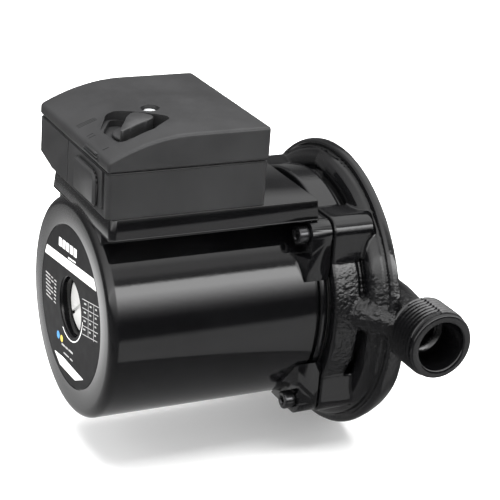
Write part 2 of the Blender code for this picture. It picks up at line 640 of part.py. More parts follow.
def build_lid():
    bottom = BOX_SEAM + GAP
    near, far, wall = BOX_NEAR - GAP, BOX_FAR + GAP, 0.0024
    lid = slab("terminal_lid", lid_profile(0.0, bottom), near, far, BLACK_PLASTIC, axis="Y")
    rounding = lid.modifiers.new("Edges", "BEVEL")
    rounding.width = 0.0018
    rounding.segments = 2
    rounding.limit_method = "ANGLE"
    rounding.angle_limit = math.radians(50)
    cut(lid, slab("lid_inside", lid_profile(wall, bottom - 0.002), near + wall, far - wall, axis="Y"))
    well = slab("knob_well", pit_outline(0.0014), PIT_FLOOR - 0.0014, BOX_TOP + 0.001)
    combine(well, slab("well_limit", lid_profile(0.0008, 0.0800), near, far, axis="Y"), "INTERSECT")
    tube = rod("lid_screw_tube", (LID_SCREW_X, LID_SCREW_Y, 0.0860),
               (LID_SCREW_X, LID_SCREW_Y, 0.0950), 0.0056)
    join(lid, well, tube)
    cut(lid, slab("knob_pit", pit_outline(0.0), PIT_FLOOR, 0.1000))
    cut(lid, rod("knob_hole", (KNOB_X, KNOB_Y, 0.0800), (KNOB_X, KNOB_Y, 0.0880), 0.0036))
    cut(lid, rod("screw_recess", (LID_SCREW_X, LID_SCREW_Y, 0.0910),
                 (LID_SCREW_X, LID_SCREW_Y, 0.0980), 0.0042))
    cut(lid, rod("screw_pass", (LID_SCREW_X, LID_SCREW_Y, 0.0840),
                 (LID_SCREW_X, LID_SCREW_Y, 0.0920), 0.0019, sides=12))
    for strokes, y, length in ((3, 0.0010, 0.0098), (2, -0.0143, 0.0034), (1, -0.0312, 0.0034)):
        for stroke in range(strokes):
            at = y + (stroke - (strokes - 1) / 2) * -0.0022
            mark = block(f"speed_mark_{strokes}_{stroke + 1}", (-length / 2, -0.0004, -0.0008),
                         (length / 2, 0.0004, 0.0008))
            middle = -0.1460 + length / 2
            slope = math.atan2(crown(middle + 0.001) - crown(middle - 0.001), 0.002)
            mark.location = (middle, at, crown(middle) - 0.0005)
            mark.rotation_euler = (0.0, -slope, 0.0)
            join(lid, mark)


def build_lid_screw():
    """Screw that holds the lid to a pillar on the base."""
    top = 0.0945
    screw = turned("lid_screw", [
        (top, 0.0), (top, 0.0030), (top - 0.0006, 0.0037), (0.0913, 0.0037), (0.0913, 0.0016),
        (0.0660, 0.0016), (0.0655, 0.0011), (0.0655, 0.0)], ZINC, axis="Z",
        at=(LID_SCREW_X, LID_SCREW_Y, 0.0), steps=16)
    for turn in (0, 90):
        blade = block(f"lid_screw_cross_{turn}", (-0.0024, -0.0004, top - 0.0012),
                      (0.0024, 0.0004, top + 0.001))
        blade.location = (LID_SCREW_X, LID_SCREW_Y, blade.location.z)
        blade.rotation_euler = (0, 0, math.radians(turn + 20))
        cut(screw, blade)
    ring("lid_pillar", BOX_FLOOR + 0.0025 + GAP, 0.0830, 0.0019, 0.0038, BRASS, axis="Z",
         at=(LID_SCREW_X, LID_SCREW_Y, 0.0), steps=12)


def build_speed_knob():
    """Round selector with a finger grip and a stem that turns the switch below."""
    disc = turned("speed_knob", [
        (0.0885, 0.0), (0.0885, KNOB_RADIUS - 0.0006), (0.0879, KNOB_RADIUS),
        (PIT_FLOOR + GAP, KNOB_RADIUS), (PIT_FLOOR + GAP, 0.0033), (0.0770, 0.0033),
        (0.0770, 0.0)], BLACK_PLASTIC, axis="Z", at=(KNOB_X, KNOB_Y, 0.0), steps=28)
    side = [(-0.0128, 0.0005), (-0.0090, 0.0015), (-0.0045, 0.0029), (0.0, 0.0043),
            (0.0045, 0.0053), (0.0076, 0.0052), (0.0092, 0.0030)]
    outline = side + [(x, -y) for x, y in reversed(side)]
    grip = slab("knob_grip", outline, 0.0875, 0.0950, axis="Z", at=(KNOB_X, KNOB_Y, 0.0))
    grip.rotation_euler = (0.0, 0.0, math.radians(KNOB_AIM))
    add_bevel(grip, 0.0005, 1, 60)
    join(disc, grip)


def build_switch():
    half = 0.0086
    body = block("speed_switch", (KNOB_X - half, KNOB_Y - half, BOX_FLOOR + 0.0028),
                 (KNOB_X + half, KNOB_Y + half, 0.0740), GREY_PLASTIC, bevel=0.0006, segments=1)
    cut(body, rod("switch_well", (KNOB_X, KNOB_Y, 0.0660), (KNOB_X, KNOB_Y, 0.0760), 0.0070))
    rotor = turned("switch_rotor", [(0.0767, 0.0), (0.0767, 0.0045), (0.0745, 0.0045),
                                    (0.0745, 0.0067), (0.0663, 0.0067), (0.0663, 0.0)],
                   GREY_PLASTIC, axis="Z", at=(KNOB_X, KNOB_Y, 0.0), steps=24)
    cut(rotor, block("rotor_cam_flat", (KNOB_X - 0.0080, KNOB_Y + 0.0045, 0.0650),
                     (KNOB_X + 0.0080, KNOB_Y + 0.0090, 0.0744)))


def build_electrics():
    floor = BOX_FLOOR + 0.0028
    can = rod("run_capacitor", (-0.0840, -0.0260, floor + 0.0076), (-0.0840, 0.0140, floor + 0.0076),
              0.0072, GREY_PLASTIC, sides=20)
    add_bevel(can, 0.0006, 1)
    block_low, block_high = (-0.1330, 0.0110, floor), (-0.1030, 0.0230, floor + 0.0130)
    terminals = block("terminal_block", block_low, block_high, GREY_PLASTIC, bevel=0.0005, segments=1)
    for number, name in enumerate(("line", "neutral", "earth")):
        x = -0.1280 + number * 0.0100
        top = floor + 0.0130
        well = rod(f"terminal_well_{name}", (x, 0.0145, top - 0.0060), (x, 0.0145, top + 0.001),
                   0.0027, sides=16)
        entry = block(f"wire_entry_{name}", (x - 0.0025, 0.0185, floor + 0.0030),
                      (x + 0.0025, 0.0240, floor + 0.0070))
        cut(terminals, well, entry)
        screw = turned(f"terminal_screw_{name}", [
            (top - 0.0012, 0.0), (top - 0.0012, 0.0020), (top - 0.0016, 0.0023),
            (top - 0.0057, 0.0023), (top - 0.0057, 0.0)], BRASS, axis="Z", at=(x, 0.0145, 0.0),
            steps=12)
        slot = block(f"terminal_slot_{name}", (x - 0.0030, 0.0142, top - 0.0020),
                     (x + 0.0030, 0.0148, top))
        cut(screw, slot)


def build_cable_gland():
    """Gland for the mains lead, on the side wall of the terminal box."""
    at = (GLAND_X, 0.0, GLAND_Z)
    wall = BOX_FAR
    turned("gland_body", [
        (wall + 0.0100, 0.0042), (wall + 0.0100, 0.0059), (wall + 0.0040, 0.0059),
        (wall + 0.0040, 0.0085), (wall + GAP, 0.0085), (wall + GAP, 0.0059),
        (wall - 0.0080, 0.0059), (wall - 0.0080, 0.0042)], BLACK_PLASTIC, axis="Y", at=at,
        steps=20, closed=True)
    nut = rod("gland_lock_nut", (at[0], wall - 0.0068, at[2]),
              (at[0], wall - BOX_WALL - GAP, at[2]), 0.0078, BLACK_PLASTIC, sides=6)
    cut(nut, rod("lock_nut_hole", (at[0], wall - 0.0090, at[2]), (at[0], wall, at[2]),
                 0.0059 + GAP, sides=20))
    ring("gland_seal", wall + 0.0045, wall + 0.0103, 0.0033, 0.0039, RUBBER, axis="Y", at=at, steps=16)
    turned("gland_cap", [
        (wall + 0.0140, 0.0035), (wall + 0.0140, 0.0066), (wall + 0.0120, 0.0086),
        (wall + 0.0046, 0.0086), (wall + 0.0046, 0.0062), (wall + 0.0106, 0.0062),
        (wall + 0.0106, 0.0035)], BLACK_PLASTIC, axis="Y", at=at, steps=20, closed=True)


def finish_meshes():
    """Apply every modifier, so each part is one plain mesh with smooth round faces."""
    for obj in PARTS.objects:
        bpy.context.view_layer.update()
        evaluated = obj.evaluated_get(bpy.context.evaluated_depsgraph_get())
        mesh = bpy.data.meshes.new_from_object(evaluated)
        mesh.name = obj.name
        obj.modifiers.clear()
        obj.data = mesh
        mesh.shade_smooth()
        mesh.set_sharp_from_angle(angle=math.radians(30))


clear_scene()
PARTS = new_collection("circulator_pump")
CUTTERS = new_collection("cutters")
build_pump_housing()
build_wear_ring()
build_housing_gasket()
build_rotor()
build_impeller()
build_bearings()
build_rotor_can()
build_stator()
build_motor_housing()
build_label()
build_bleed_screw()
build_flange_bolts()
build_terminal_box()
build_lid()
build_lid_screw()
build_speed_knob()
build_switch()
build_electrics()
build_cable_gland()
finish_meshes()
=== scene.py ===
"""Looks for the heating circulator pump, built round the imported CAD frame. Metres, row frame."""
import json
import math

import bmesh
import bpy
from mathutils import Matrix, Vector, noise


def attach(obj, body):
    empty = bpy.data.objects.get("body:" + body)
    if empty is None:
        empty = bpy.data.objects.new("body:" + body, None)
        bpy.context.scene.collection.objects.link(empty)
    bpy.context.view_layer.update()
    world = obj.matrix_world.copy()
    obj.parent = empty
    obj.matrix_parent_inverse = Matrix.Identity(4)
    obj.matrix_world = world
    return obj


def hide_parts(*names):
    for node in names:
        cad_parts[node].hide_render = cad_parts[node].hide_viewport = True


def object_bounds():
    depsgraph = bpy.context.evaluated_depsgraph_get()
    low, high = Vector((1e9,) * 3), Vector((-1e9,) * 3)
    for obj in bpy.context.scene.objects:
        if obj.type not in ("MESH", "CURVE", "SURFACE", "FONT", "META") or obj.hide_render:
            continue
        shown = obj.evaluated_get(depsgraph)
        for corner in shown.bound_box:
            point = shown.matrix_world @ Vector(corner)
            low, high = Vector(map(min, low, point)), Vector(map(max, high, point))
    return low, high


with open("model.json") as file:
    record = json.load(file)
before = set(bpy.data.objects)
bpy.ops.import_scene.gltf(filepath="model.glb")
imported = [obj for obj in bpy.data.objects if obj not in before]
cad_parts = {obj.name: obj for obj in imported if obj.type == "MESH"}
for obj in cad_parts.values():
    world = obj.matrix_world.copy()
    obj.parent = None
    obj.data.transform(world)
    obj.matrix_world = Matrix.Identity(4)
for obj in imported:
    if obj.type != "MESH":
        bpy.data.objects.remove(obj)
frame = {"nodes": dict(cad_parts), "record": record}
CAD_BOX = [list(corner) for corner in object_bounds()]
NODES = frame["nodes"]

MOTOR_RADIUS = 0.0520
MOTOR_REAR = -0.1460
MOTOR_FRONT = -0.0386
PUMP_FACE = -0.0376
DRUM_RADIUS = 0.0570
DISC_DROP = -0.0024
BOLT_SQUARE = 0.0420
BOLT_SEAT = -0.0485
BOX_REAR = -0.1476
BOX_FRONT = -0.0718
BOX_NEAR = -0.0442
BOX_FAR = 0.0424
BOX_FLOOR = 0.0597
BOX_SEAM = 0.0800
BOX_TOP = 0.0958
PLATE_TOP = 0.0586
CROWN_START = -0.1080
CROWN_RADIUS = 0.0770
KNOB_X, KNOB_Y = -0.1254, -0.0179
PIT_FLOOR = 0.0866
PIT_ROUNDS = ((-0.0040, 0.0138, 0.0043), (0.0104, -0.0026, 0.0043), (0.0015, -0.0085, 0.0050),
              (-0.0086, -0.0102, 0.0055), (-0.0092, 0.0015, 0.0060))   # the pit wraps these circles
KNOB_AIM = 40                   # degrees from +X to the wide end of the knob's arrow
SCREW_X, SCREW_Y = -0.1134, -0.0060
SCREW_TOP = 0.0945
THREAD_RADIUS = 0.033249 / 2
THREAD_PITCH = 0.0254 / 11
PORT_FACE = 0.0900
GAP = 0.0003                    # clearance between neighbouring pieces
LID_WALL = 0.0024
BASE_WALL = 0.0030
DUCT_X = -0.0975                # passage for the wires between motor and box
GLAND_X, GLAND_Z = -0.1120, 0.0715
BASE_SCREWS = ((-0.0800, -0.0340), (-0.0800, 0.0205))
CASTING_VOXEL = 0.0006          # finest detail that the melted casting keeps
FLOOR_Z = CAD_BOX[0][2] - 0.0004


# ---- mesh helpers ---------------------------------------------------------------------------
def new_object(name, bm):
    bmesh.ops.recalc_face_normals(bm, faces=bm.faces)
    mesh = bpy.data.meshes.new(name)
    bm.to_mesh(mesh)
    bm.free()
    obj = bpy.data.objects.new(name, mesh)
    bpy.context.scene.collection.objects.link(obj)
    return obj


def axes_of(axis):
    """Unit vectors: along the axis, and the two that span the plane across it."""
    return {"X": (Vector((1, 0, 0)), Vector((0, 1, 0)), Vector((0, 0, 1))),
            "Y": (Vector((0, 1, 0)), Vector((0, 0, 1)), Vector((1, 0, 0))),
            "Z": (Vector((0, 0, 1)), Vector((1, 0, 0)), Vector((0, 1, 0)))}[axis]


def loft(name, rows, closed_profile, closed_loop=True):
    """Skin rows of points; each row is one cross-section with the same number of points."""
    bm = bmesh.new()
    grid = [[bm.verts.new(p) for p in row] for row in rows]
    count = len(rows)
    for i in range(count if closed_loop else count - 1):
        a, b = grid[i], grid[(i + 1) % count]
        for k in range(len(a) if closed_profile else len(a) - 1):
            n = (k + 1) % len(a)
            bm.faces.new((a[k], a[n], b[n], b[k]))
    bmesh.ops.remove_doubles(bm, verts=bm.verts, dist=1e-7)
    return new_object(name, bm)


def lathe(name, profile, axis="X", at=(0, 0, 0), steps=128, ring=False):
    """Turn (along, radius) points round an axis."""
    along, u, v = axes_of(axis)
    rows = []
    for i in range(steps):
        angle = 2 * math.pi * i / steps
        out = u * math.cos(angle) + v * math.sin(angle)
        rows.append([Vector(at) + along * a + out * r for a, r in profile])
    return loft(name, rows, ring)


def prism(name, outline, low, high, axis="Z"):
    """An outline given thickness along an axis: XY for Z, YZ for X, XZ for Y."""
    spot = {"Z": lambda p, h: (p[0], p[1], h), "X": lambda p, h: (h, p[0], p[1]),
            "Y": lambda p, h: (p[0], h, p[1])}[axis]
    bm = bmesh.new()
    under = [bm.verts.new(spot(p, low)) for p in outline]
    over = [bm.verts.new(spot(p, high)) for p in outline]
    bm.faces.new(under)
    bm.faces.new(over)
    for i in range(len(outline)):
        n = (i + 1) % len(outline)
        bm.faces.new((under[i], under[n], over[n], over[i]))
    return new_object(name, bm)


def box(name, low, high):
    outline = [(low[0], low[1]), (high[0], low[1]), (high[0], high[1]), (low[0], high[1])]
    return prism(name, outline, low[2], high[2])


def bar(name, start, end, radius, end_radius=None, sides=48):
    """A round bar between two points, which may taper."""
    start, end = Vector(start), Vector(end)
    along = (end - start).normalized()
    u = along.orthogonal().normalized()
    v = along.cross(u)
    tip = radius if end_radius is None else end_radius
    rows = []
    for i in range(sides):
        out = u * math.cos(2 * math.pi * i / sides) + v * math.sin(2 * math.pi * i / sides)
        rows.append([start, start + out * radius, end + out * tip, end])
    return loft(name, rows, False)


def tube(name, stops, sides=40):
    """A solid bent pipe through (x, y, z, radius) stops."""
    points = [Vector(s[:3]) for s in stops]
    rows = []
    u = None
    for i, p in enumerate(points):
        ahead = (points[min(i + 1, len(points) - 1)] - points[max(i - 1, 0)]).normalized()
        u = ahead.orthogonal().normalized() if u is None else (u - ahead * u.dot(ahead)).normalized()
        v = ahead.cross(u)
        rows.append([p + (u * math.cos(2 * math.pi * k / sides) + v * math.sin(2 * math.pi * k / sides))
                     * stops[i][3] for k in range(sides)])
    bm = bmesh.new()
    grid = [[bm.verts.new(p) for p in row] for row in rows]
    for a, b in zip(grid, grid[1:]):
        for k in range(sides):
            n = (k + 1) % sides
            bm.faces.new((a[k], a[n], b[n], b[k]))
    bm.faces.new(grid[0])
    bm.faces.new(grid[-1])
    return new_object(name, bm)


def arc(centre, radius, start, end, steps):
    return [(centre[0] + radius * math.cos(math.radians(start + (end - start) * i / steps)),
             centre[1] + radius * math.sin(math.radians(start + (end - start) * i / steps)))
            for i in range(steps + 1)]


def spin(obj, angle, axis="Z", about=(0, 0, 0)):
    """Turn a mesh, in degrees, about an axis through a point."""
    about = Vector(about)
    turn = (Matrix.Translation(about) @ Matrix.Rotation(math.radians(angle), 4, axis)
            @ Matrix.Translation(-about))
    obj.data.transform(turn)
    return obj


def flipped(obj, name, y=False, z=False):
    """A mirrored copy across the shaft's planes."""
    copy = bpy.data.objects.new(name, obj.data.copy())
    bpy.context.scene.collection.objects.link(copy)
    copy.data.transform(Matrix.Diagonal((1, -1 if y else 1, -1 if z else 1, 1)))
    if y != z:
        copy.data.flip_normals()
    return copy


def apply_all(obj):
    bpy.context.view_layer.update()
    evaluated = obj.evaluated_get(bpy.context.evaluated_depsgraph_get())
    mesh = bpy.data.meshes.new_from_object(evaluated)
    obj.modifiers.clear()
    obj.data = mesh
    return obj


def boolean(obj, tools, operation="DIFFERENCE", solver="EXACT"):
    for tool in tools:
        step = obj.modifiers.new("Boolean", "BOOLEAN")
        step.operation = operation
        step.solver = solver
        step.object = tool
    apply_all(obj)
    for tool in tools:
        bpy.data.objects.remove(tool, do_unlink=True)
    return obj


def bevelled(obj, width, segments=3, angle=35):
    step = obj.modifiers.new("Bevel", "BEVEL")
    step.width = width
    step.segments = segments
    step.limit_method = "ANGLE"
    step.angle_limit = math.radians(angle)
    step.use_clamp_overlap = True
    step.harden_normals = True
    obj.data.shade_smooth()
    return apply_all(obj)


def joined(name, objects):
    """Put several meshes into one object, without a boolean."""
    bm = bmesh.new()
    for obj in objects:
        bm.from_mesh(obj.data)
        bpy.data.objects.remove(obj, do_unlink=True)
    mesh = bpy.data.meshes.new(name)
    bm.to_mesh(mesh)
    bm.free()
    made = bpy.data.objects.new(name, mesh)
    bpy.context.scene.collection.objects.link(made)
    return made


def fused(obj, voxel, soften):
    """Melt overlapping solids into one casting with soft inner corners."""
    step = obj.modifiers.new("Fuse", "REMESH")
    step.mode = "VOXEL"
    step.voxel_size = voxel
    soft = obj.modifiers.new("Soften", "SMOOTH")
    soft.factor = 0.5
    soft.iterations = soften
    return apply_all(obj)


def piece(obj, body, look, replaces=(), smooth=35):
    """Give a finished mesh its look, its body and the CAD nodes it stands for."""
    obj.data.shade_smooth()
    if smooth < 180:
        obj.data.set_sharp_from_angle(angle=math.radians(smooth))
    obj.data.materials.clear()
    obj.data.materials.append(look)
    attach(obj, body)
    if replaces:
        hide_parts(*replaces)
    return obj


# ---- materials ------------------------------------------------------------------------------
def look(name, colour, roughness, metallic=0.0, vary=0.15, rough_vary=0.04, grain=900.0,
         bump=0.05, depth=0.00008, shine=0.5, blotch=45.0, rough_cast=None):
    """A procedural surface: blotchy colour, uneven gloss and a fine grain in the bump."""
    mat = bpy.data.materials.new(name)
    mat.use_nodes = True
    tree = mat.node_tree
    nodes, links = tree.nodes, tree.links
    shader = nodes["Principled BSDF"]
    shader.inputs["Metallic"].default_value = metallic
    shader.inputs["Specular IOR Level"].default_value = shine
    coords = nodes.new("ShaderNodeTexCoord")

    def noise_node(scale, detail=3.0):
        made = nodes.new("ShaderNodeTexNoise")
        made.inputs["Scale"].default_value = scale
        made.inputs["Detail"].default_value = detail
        links.new(coords.outputs["Object"], made.inputs["Vector"])
        return made

    def ranged(source, low, high):
        made = nodes.new("ShaderNodeMapRange")
        made.inputs["From Min"].default_value = 0.3
        made.inputs["From Max"].default_value = 0.7
        made.inputs["To Min"].default_value = low
        made.inputs["To Max"].default_value = high
        links.new(source, made.inputs["Value"])
        return made.outputs["Result"]

    blot = noise_node(blotch)
    ramp = nodes.new("ShaderNodeValToRGB")
    ramp.color_ramp.elements[0].position = 0.35
    ramp.color_ramp.elements[1].position = 0.65
    ramp.color_ramp.elements[0].color = (*[c * (1 - vary) for c in colour], 1)
    ramp.color_ramp.elements[1].color = (*[min(1, c * (1 + vary)) for c in colour], 1)
    links.new(blot.outputs["Fac"], ramp.inputs["Fac"])
    links.new(ramp.outputs["Color"], shader.inputs["Base Color"])
    links.new(ranged(noise_node(blotch * 4).outputs["Fac"], roughness - rough_vary,
                     roughness + rough_vary), shader.inputs["Roughness"])
    fine = nodes.new("ShaderNodeBump")
    fine.inputs["Strength"].default_value = bump
    fine.inputs["Distance"].default_value = depth
    links.new(noise_node(grain).outputs["Fac"], fine.inputs["Height"])
    links.new(fine.outputs["Normal"], shader.inputs["Normal"])
    if rough_cast:
        scale, strength, height = rough_cast
        coarse = nodes.new("ShaderNodeBump")
        coarse.inputs["Distance"].default_value = height
        links.new(noise_node(scale, 5.0).outputs["Fac"], coarse.inputs["Height"])
        marked = nodes.new("ShaderNodeAttribute")
        marked.attribute_name = "cast_skin"
        amount = nodes.new("ShaderNodeMath")
        amount.operation = "MULTIPLY"
        amount.inputs[1].default_value = strength
        links.new(marked.outputs["Fac"], amount.inputs[0])
        links.new(amount.outputs[0], coarse.inputs["Strength"])
        links.new(coarse.outputs["Normal"], fine.inputs["Normal"])
    return mat


PAINT = look("gloss_black_paint", (0.0030, 0.0030, 0.0033), 0.075, rough_vary=0.02, grain=420,
             bump=0.05, depth=0.0002)
CAST_PAINT = look("cast_black_paint", (0.0030, 0.0030, 0.0033), 0.065, rough_vary=0.03, grain=380,
                  bump=0.10, depth=0.0003, rough_cast=(800.0, 0.60, 0.0007))
BOX_PLASTIC = look("box_black_plastic", (0.0185, 0.0185, 0.0190), 0.38, rough_vary=0.02, grain=2600,
                   bump=0.08, depth=0.00006, shine=0.32)
KNOB_PLASTIC = look("knob_black_plastic", (0.0200, 0.0200, 0.0205), 0.36, grain=2600, bump=0.10)
NUT_PLASTIC = look("gland_plastic", (0.012, 0.012, 0.012), 0.45, grain=2000, bump=0.12)
DARK_STEEL = look("blackened_steel", (0.060, 0.060, 0.062), 0.22, metallic=0.9, grain=1800, bump=0.08)
CHROME = look("plated_brass", (0.52, 0.52, 0.51), 0.36, metallic=0.10, vary=0.05, grain=700, bump=0.02)
BRIGHT_ZINC = look("bright_zinc", (0.90, 0.91, 0.92), 0.30, metallic=0.7, vary=0.05, grain=900)
FOIL = look("label_film", (0.0125, 0.0125, 0.0130), 0.50, shine=0.04, vary=0.08, grain=1800, bump=0.04)
PRINT_WHITE = look("print_white", (0.84, 0.84, 0.83), 0.5, shine=0.2, vary=0.03, grain=1800)
PRINT_GREY = look("print_grey", (0.36, 0.36, 0.36), 0.5, shine=0.2, vary=0.05, grain=1800)
PRINT_BLUE = look("print_blue", (0.05, 0.25, 0.55), 0.5, shine=0.2, vary=0.05, grain=1800)
PRINT_YELLOW = look("print_yellow", (0.62, 0.46, 0.06), 0.5, shine=0.2, vary=0.05, grain=1800)
SHADOW_RUBBER = look("black_rubber", (0.010, 0.010, 0.010), 0.70, grain=1500, bump=0.15)
NODE_LOOKS = {
    "zinc_steel": BRIGHT_ZINC, "nickel_plated": CHROME, "rubber": SHADOW_RUBBER,
    "stainless_steel": look("drawn_stainless", (0.58, 0.58, 0.57), 0.28, metallic=1.0, vary=0.06,
                            grain=1400, bump=0.06),
    "lamination_steel": look("lamination_stack", (0.26, 0.26, 0.27), 0.45, metallic=1.0, grain=2400,
                             bump=0.25),
    "enamelled_copper": look("enamelled_wire", (0.50, 0.19, 0.07), 0.35, metallic=1.0, grain=1200,
                             bump=0.35, depth=0.0003),
    "ceramic": look("ground_ceramic", (0.80, 0.78, 0.74), 0.25, vary=0.04),
    "carbon": look("moulded_carbon", (0.03, 0.03, 0.03), 0.5),
    "impeller_plastic": look("glass_filled_plastic", (0.05, 0.05, 0.055), 0.42),
    "brass": look("turned_brass", (0.68, 0.47, 0.18), 0.28, metallic=1.0, vary=0.06),
    "grey_plastic": look("moulded_grey_plastic", (0.42, 0.43, 0.44), 0.42, vary=0.05),
    "painted_casting": CAST_PAINT, "black_plastic": NUT_PLASTIC, "black_steel": DARK_STEEL,
    "printed_foil": FOIL,
}
for entry in frame["record"]["subparts"]:
    mesh = NODES[entry["node"]].data
    mesh.materials.clear()
    mesh.materials.append(NODE_LOOKS[entry["material_slot"]])


# ---- pump housing ---------------------------------------------------------------------------
def volute_rows(steps=216):
    """Cross-sections of the spiral disc: it swells from the top, past the near port, to the far one."""
    rows = []
    for i in range(steps):
        angle = 2 * math.pi * i / steps
        turn = ((math.degrees(angle) - 80.0) % 360.0) / 360.0     # 0 where the spiral begins
        rise = min(1.0, turn / 0.04) * min(1.0, (1.0 - turn) / 0.14)
        swell = (0.45 + 0.55 * turn) * rise
        behind = min(1.0, max(0.0, (turn - 0.20) / 0.16))
        behind = behind * behind * (3 - 2 * behind) * rise
        round_rim = min(1.0, max(0.0, (turn - 0.38) / 0.14)) * rise
        face = -0.0180 - 0.0036 * min(1.0, swell * 1.9)
        back = -0.0090 + 0.0062 * behind
        crease = -0.0138 * (1 - round_rim) - 0.0172 * round_rim
        lip = -0.0156 * (1 - round_rim) - 0.0160 * round_rim
        profile = [(-0.0150, 0.0470), (-0.0150, 0.0530), (face + 0.0012, 0.0541), (face + 0.0003, 0.0556),
                   (face, 0.0575), (face + 0.0001, 0.0598), (face + 0.0008, 0.0622),
                   (face + 0.0021, 0.0643), (face * 0.45 + crease * 0.55, 0.0657), (crease, 0.0667),
                   (crease * 0.5 + lip * 0.5 + 0.0002, 0.0674), (lip, 0.0684), (lip + 0.0002, 0.0695),
                   (lip + 0.0010, 0.0703), (lip + 0.0026, 0.0707), (lip + 0.0044, 0.0704),
                   (min(back - 0.0014, -0.0080), 0.0694), (back - 0.0004, 0.0672), (back, 0.0640),
                   (back, 0.0590), (back - 0.0008, 0.0545), (-0.0088, 0.0490), (-0.0086, 0.0400),
                   (-0.0086, 0.0190), (-0.0185, 0.0190), (-0.0185, 0.0400), (-0.0125, 0.0400),
                   (-0.0125, 0.0470)]
        out = Vector((0, math.cos(angle), math.sin(angle)))
        drop = Vector((0, 0, DISC_DROP))
        rows.append([Vector((x, 0, 0)) + out * r + drop * min(1.0, max(0.0, (r - 0.045) / 0.010))
                     for x, r in profile])
    return rows


def corner_outline(radius, reach, heel=0.034):
    edge = BOLT_SQUARE + radius
    outline = [(-edge, reach)] + arc((-BOLT_SQUARE, BOLT_SQUARE), radius, 180, 90, 14)
    return outline + [(-reach, edge), (-heel, heel)]


def four(obj, name):
    """The piece itself and its copies in the other three quarters round the shaft."""
    return [obj, flipped(obj, name + "_b", y=True), flipped(obj, name + "_c", z=True),
            flipped(obj, name + "_d", y=True, z=True)]


def rough_skin(point):
    """How rough the casting is at a point, 0 to 1: the drum's near side and the near port's neck."""
    side = -point.y - 0.036
    if side < 0 or point.x > 0.002 or point.x < PUMP_FACE + 0.0006:
        return 0.08
    drum = min(1.0, max(0.0, 1 - abs(point.z) / 0.032) * 3.0) if point.x < -0.0228 else 0.0
    neck = max(0.0, 1 - math.hypot(point.z, (point.x + 0.013) * 0.8) / 0.026) if point.y < -0.044 else 0.0
    return max(0.08, drum, min(1.0, neck * 2.2))


def build_casting():
    drum = lathe("drum", [
        (-0.0180, 0.0470), (-0.0180, 0.0528), (-0.0234, 0.0528), (-0.0238, 0.0548), (-0.0245, 0.0564),
        (-0.0256, DRUM_RADIUS), (PUMP_FACE + 0.0010, DRUM_RADIUS), (PUMP_FACE + 0.0003, 0.0566),
        (PUMP_FACE, 0.0560), (PUMP_FACE, 0.0507), (-0.0369, 0.0504), (-0.0369, 0.0440),
        (-0.0320, 0.0440), (-0.0320, 0.0470)],
        steps=160, ring=True)
    volute = loft("volute", volute_rows(), True)
    dome = lathe("dome", [(0.0165, 0.0), (0.0163, 0.0080), (0.0155, 0.0140), (0.0136, 0.0188),
                          (0.0100, 0.0218), (0.0040, 0.0238), (-0.0100, 0.0248), (-0.0100, 0.0190),
                          (-0.0080, 0.0180), (0.0090, 0.0180), (0.0120, 0.0150), (0.0120, 0.0)],
                 at=(0, 0, -0.0004), steps=96)
    boss = prism("boss", corner_outline(0.0075, 0.0290), PUMP_FACE, -0.0165, axis="X")
    bevelled(boss, 0.0010, 3)
    suction = tube("suction", [(0, -0.0700, 0, 0.0112), (0, -0.0640, 0, 0.0112),
                               (0.0010, -0.0560, -0.0006, 0.0115), (0.0022, -0.0480, -0.0012, 0.0120),
                               (0.0030, -0.0400, -0.0015, 0.0124), (0.0032, -0.0190, -0.0015, 0.0124)])
    near_neck = tube("near_neck", [(0, -0.0700, 0.0002, 0.0108), (-0.0025, -0.0682, 0.0008, 0.0100),
                                   (-0.0070, -0.0662, 0.0020, 0.0092),
                                   (-0.0120, -0.0630, 0.0034, 0.0086),
                                   (-0.0175, -0.0580, 0.0042, 0.0085),
                                   (-0.0215, -0.0530, 0.0046, 0.0089),
                                   (-0.0240, -0.0480, 0.0046, 0.0094)])
    outlet = tube("outlet", [(0, 0.0700, 0, 0.0113), (-0.0010, 0.0650, 0, 0.0124),
                             (-0.0045, 0.0570, 0, 0.0142), (-0.0080, 0.0480, 0, 0.0156)])
    casting = joined("pump_casting", [drum, volute, dome, suction, near_neck, outlet]
                     + four(boss, "boss"))
    fused(casting, CASTING_VOXEL, 4)
    chamber = lathe("chamber", [(-0.0180, 0.0), (-0.0180, 0.0440), (-0.0390, 0.0440), (-0.0390, 0.0)],
                    steps=64)
    bores = [tube("suction_bore", [(0, -0.0760, 0, 0.0094), (0, -0.0700, 0, 0.0094),
                                   (0.0028, -0.0460, -0.0015, 0.0080),
                                   (0.0032, -0.0060, -0.0015, 0.0080)], 32),
             bar("outlet_bore", (0, 0.0760, 0), (-0.0125, 0.0560, -0.0026), 0.0095, 0.0062),
             chamber]
    boolean(casting, bores, solver="MANIFOLD")

    skin = casting.data.attributes.new("cast_skin", "FLOAT", "POINT")
    amounts = []
    outward = [vertex.normal.copy() for vertex in casting.data.vertices]
    for vertex, normal in zip(casting.data.vertices, outward):
        p = vertex.co.copy()
        amount = rough_skin(p)
        amounts.append(amount)
        if p.x > PUMP_FACE + 0.0008:
            lumps = noise.fractal(p * 620, 0.7, 2.3, 4) * 0.00030 * max(0.0, amount - 0.08)
            drips = abs(noise.noise(Vector((p.x * 240, p.y * 240, p.z * 90)))) * 0.00055 * (amount > 0.5)
            wave = noise.noise(p * 110) * 0.00009
            vertex.co = p + normal * (lumps + drips * min(1.0, (amount - 0.5) * 3) + wave)
    skin.data.foreach_set("value", amounts)
    return piece(casting, "pump", CAST_PAINT, ["pump_housing"], 180)


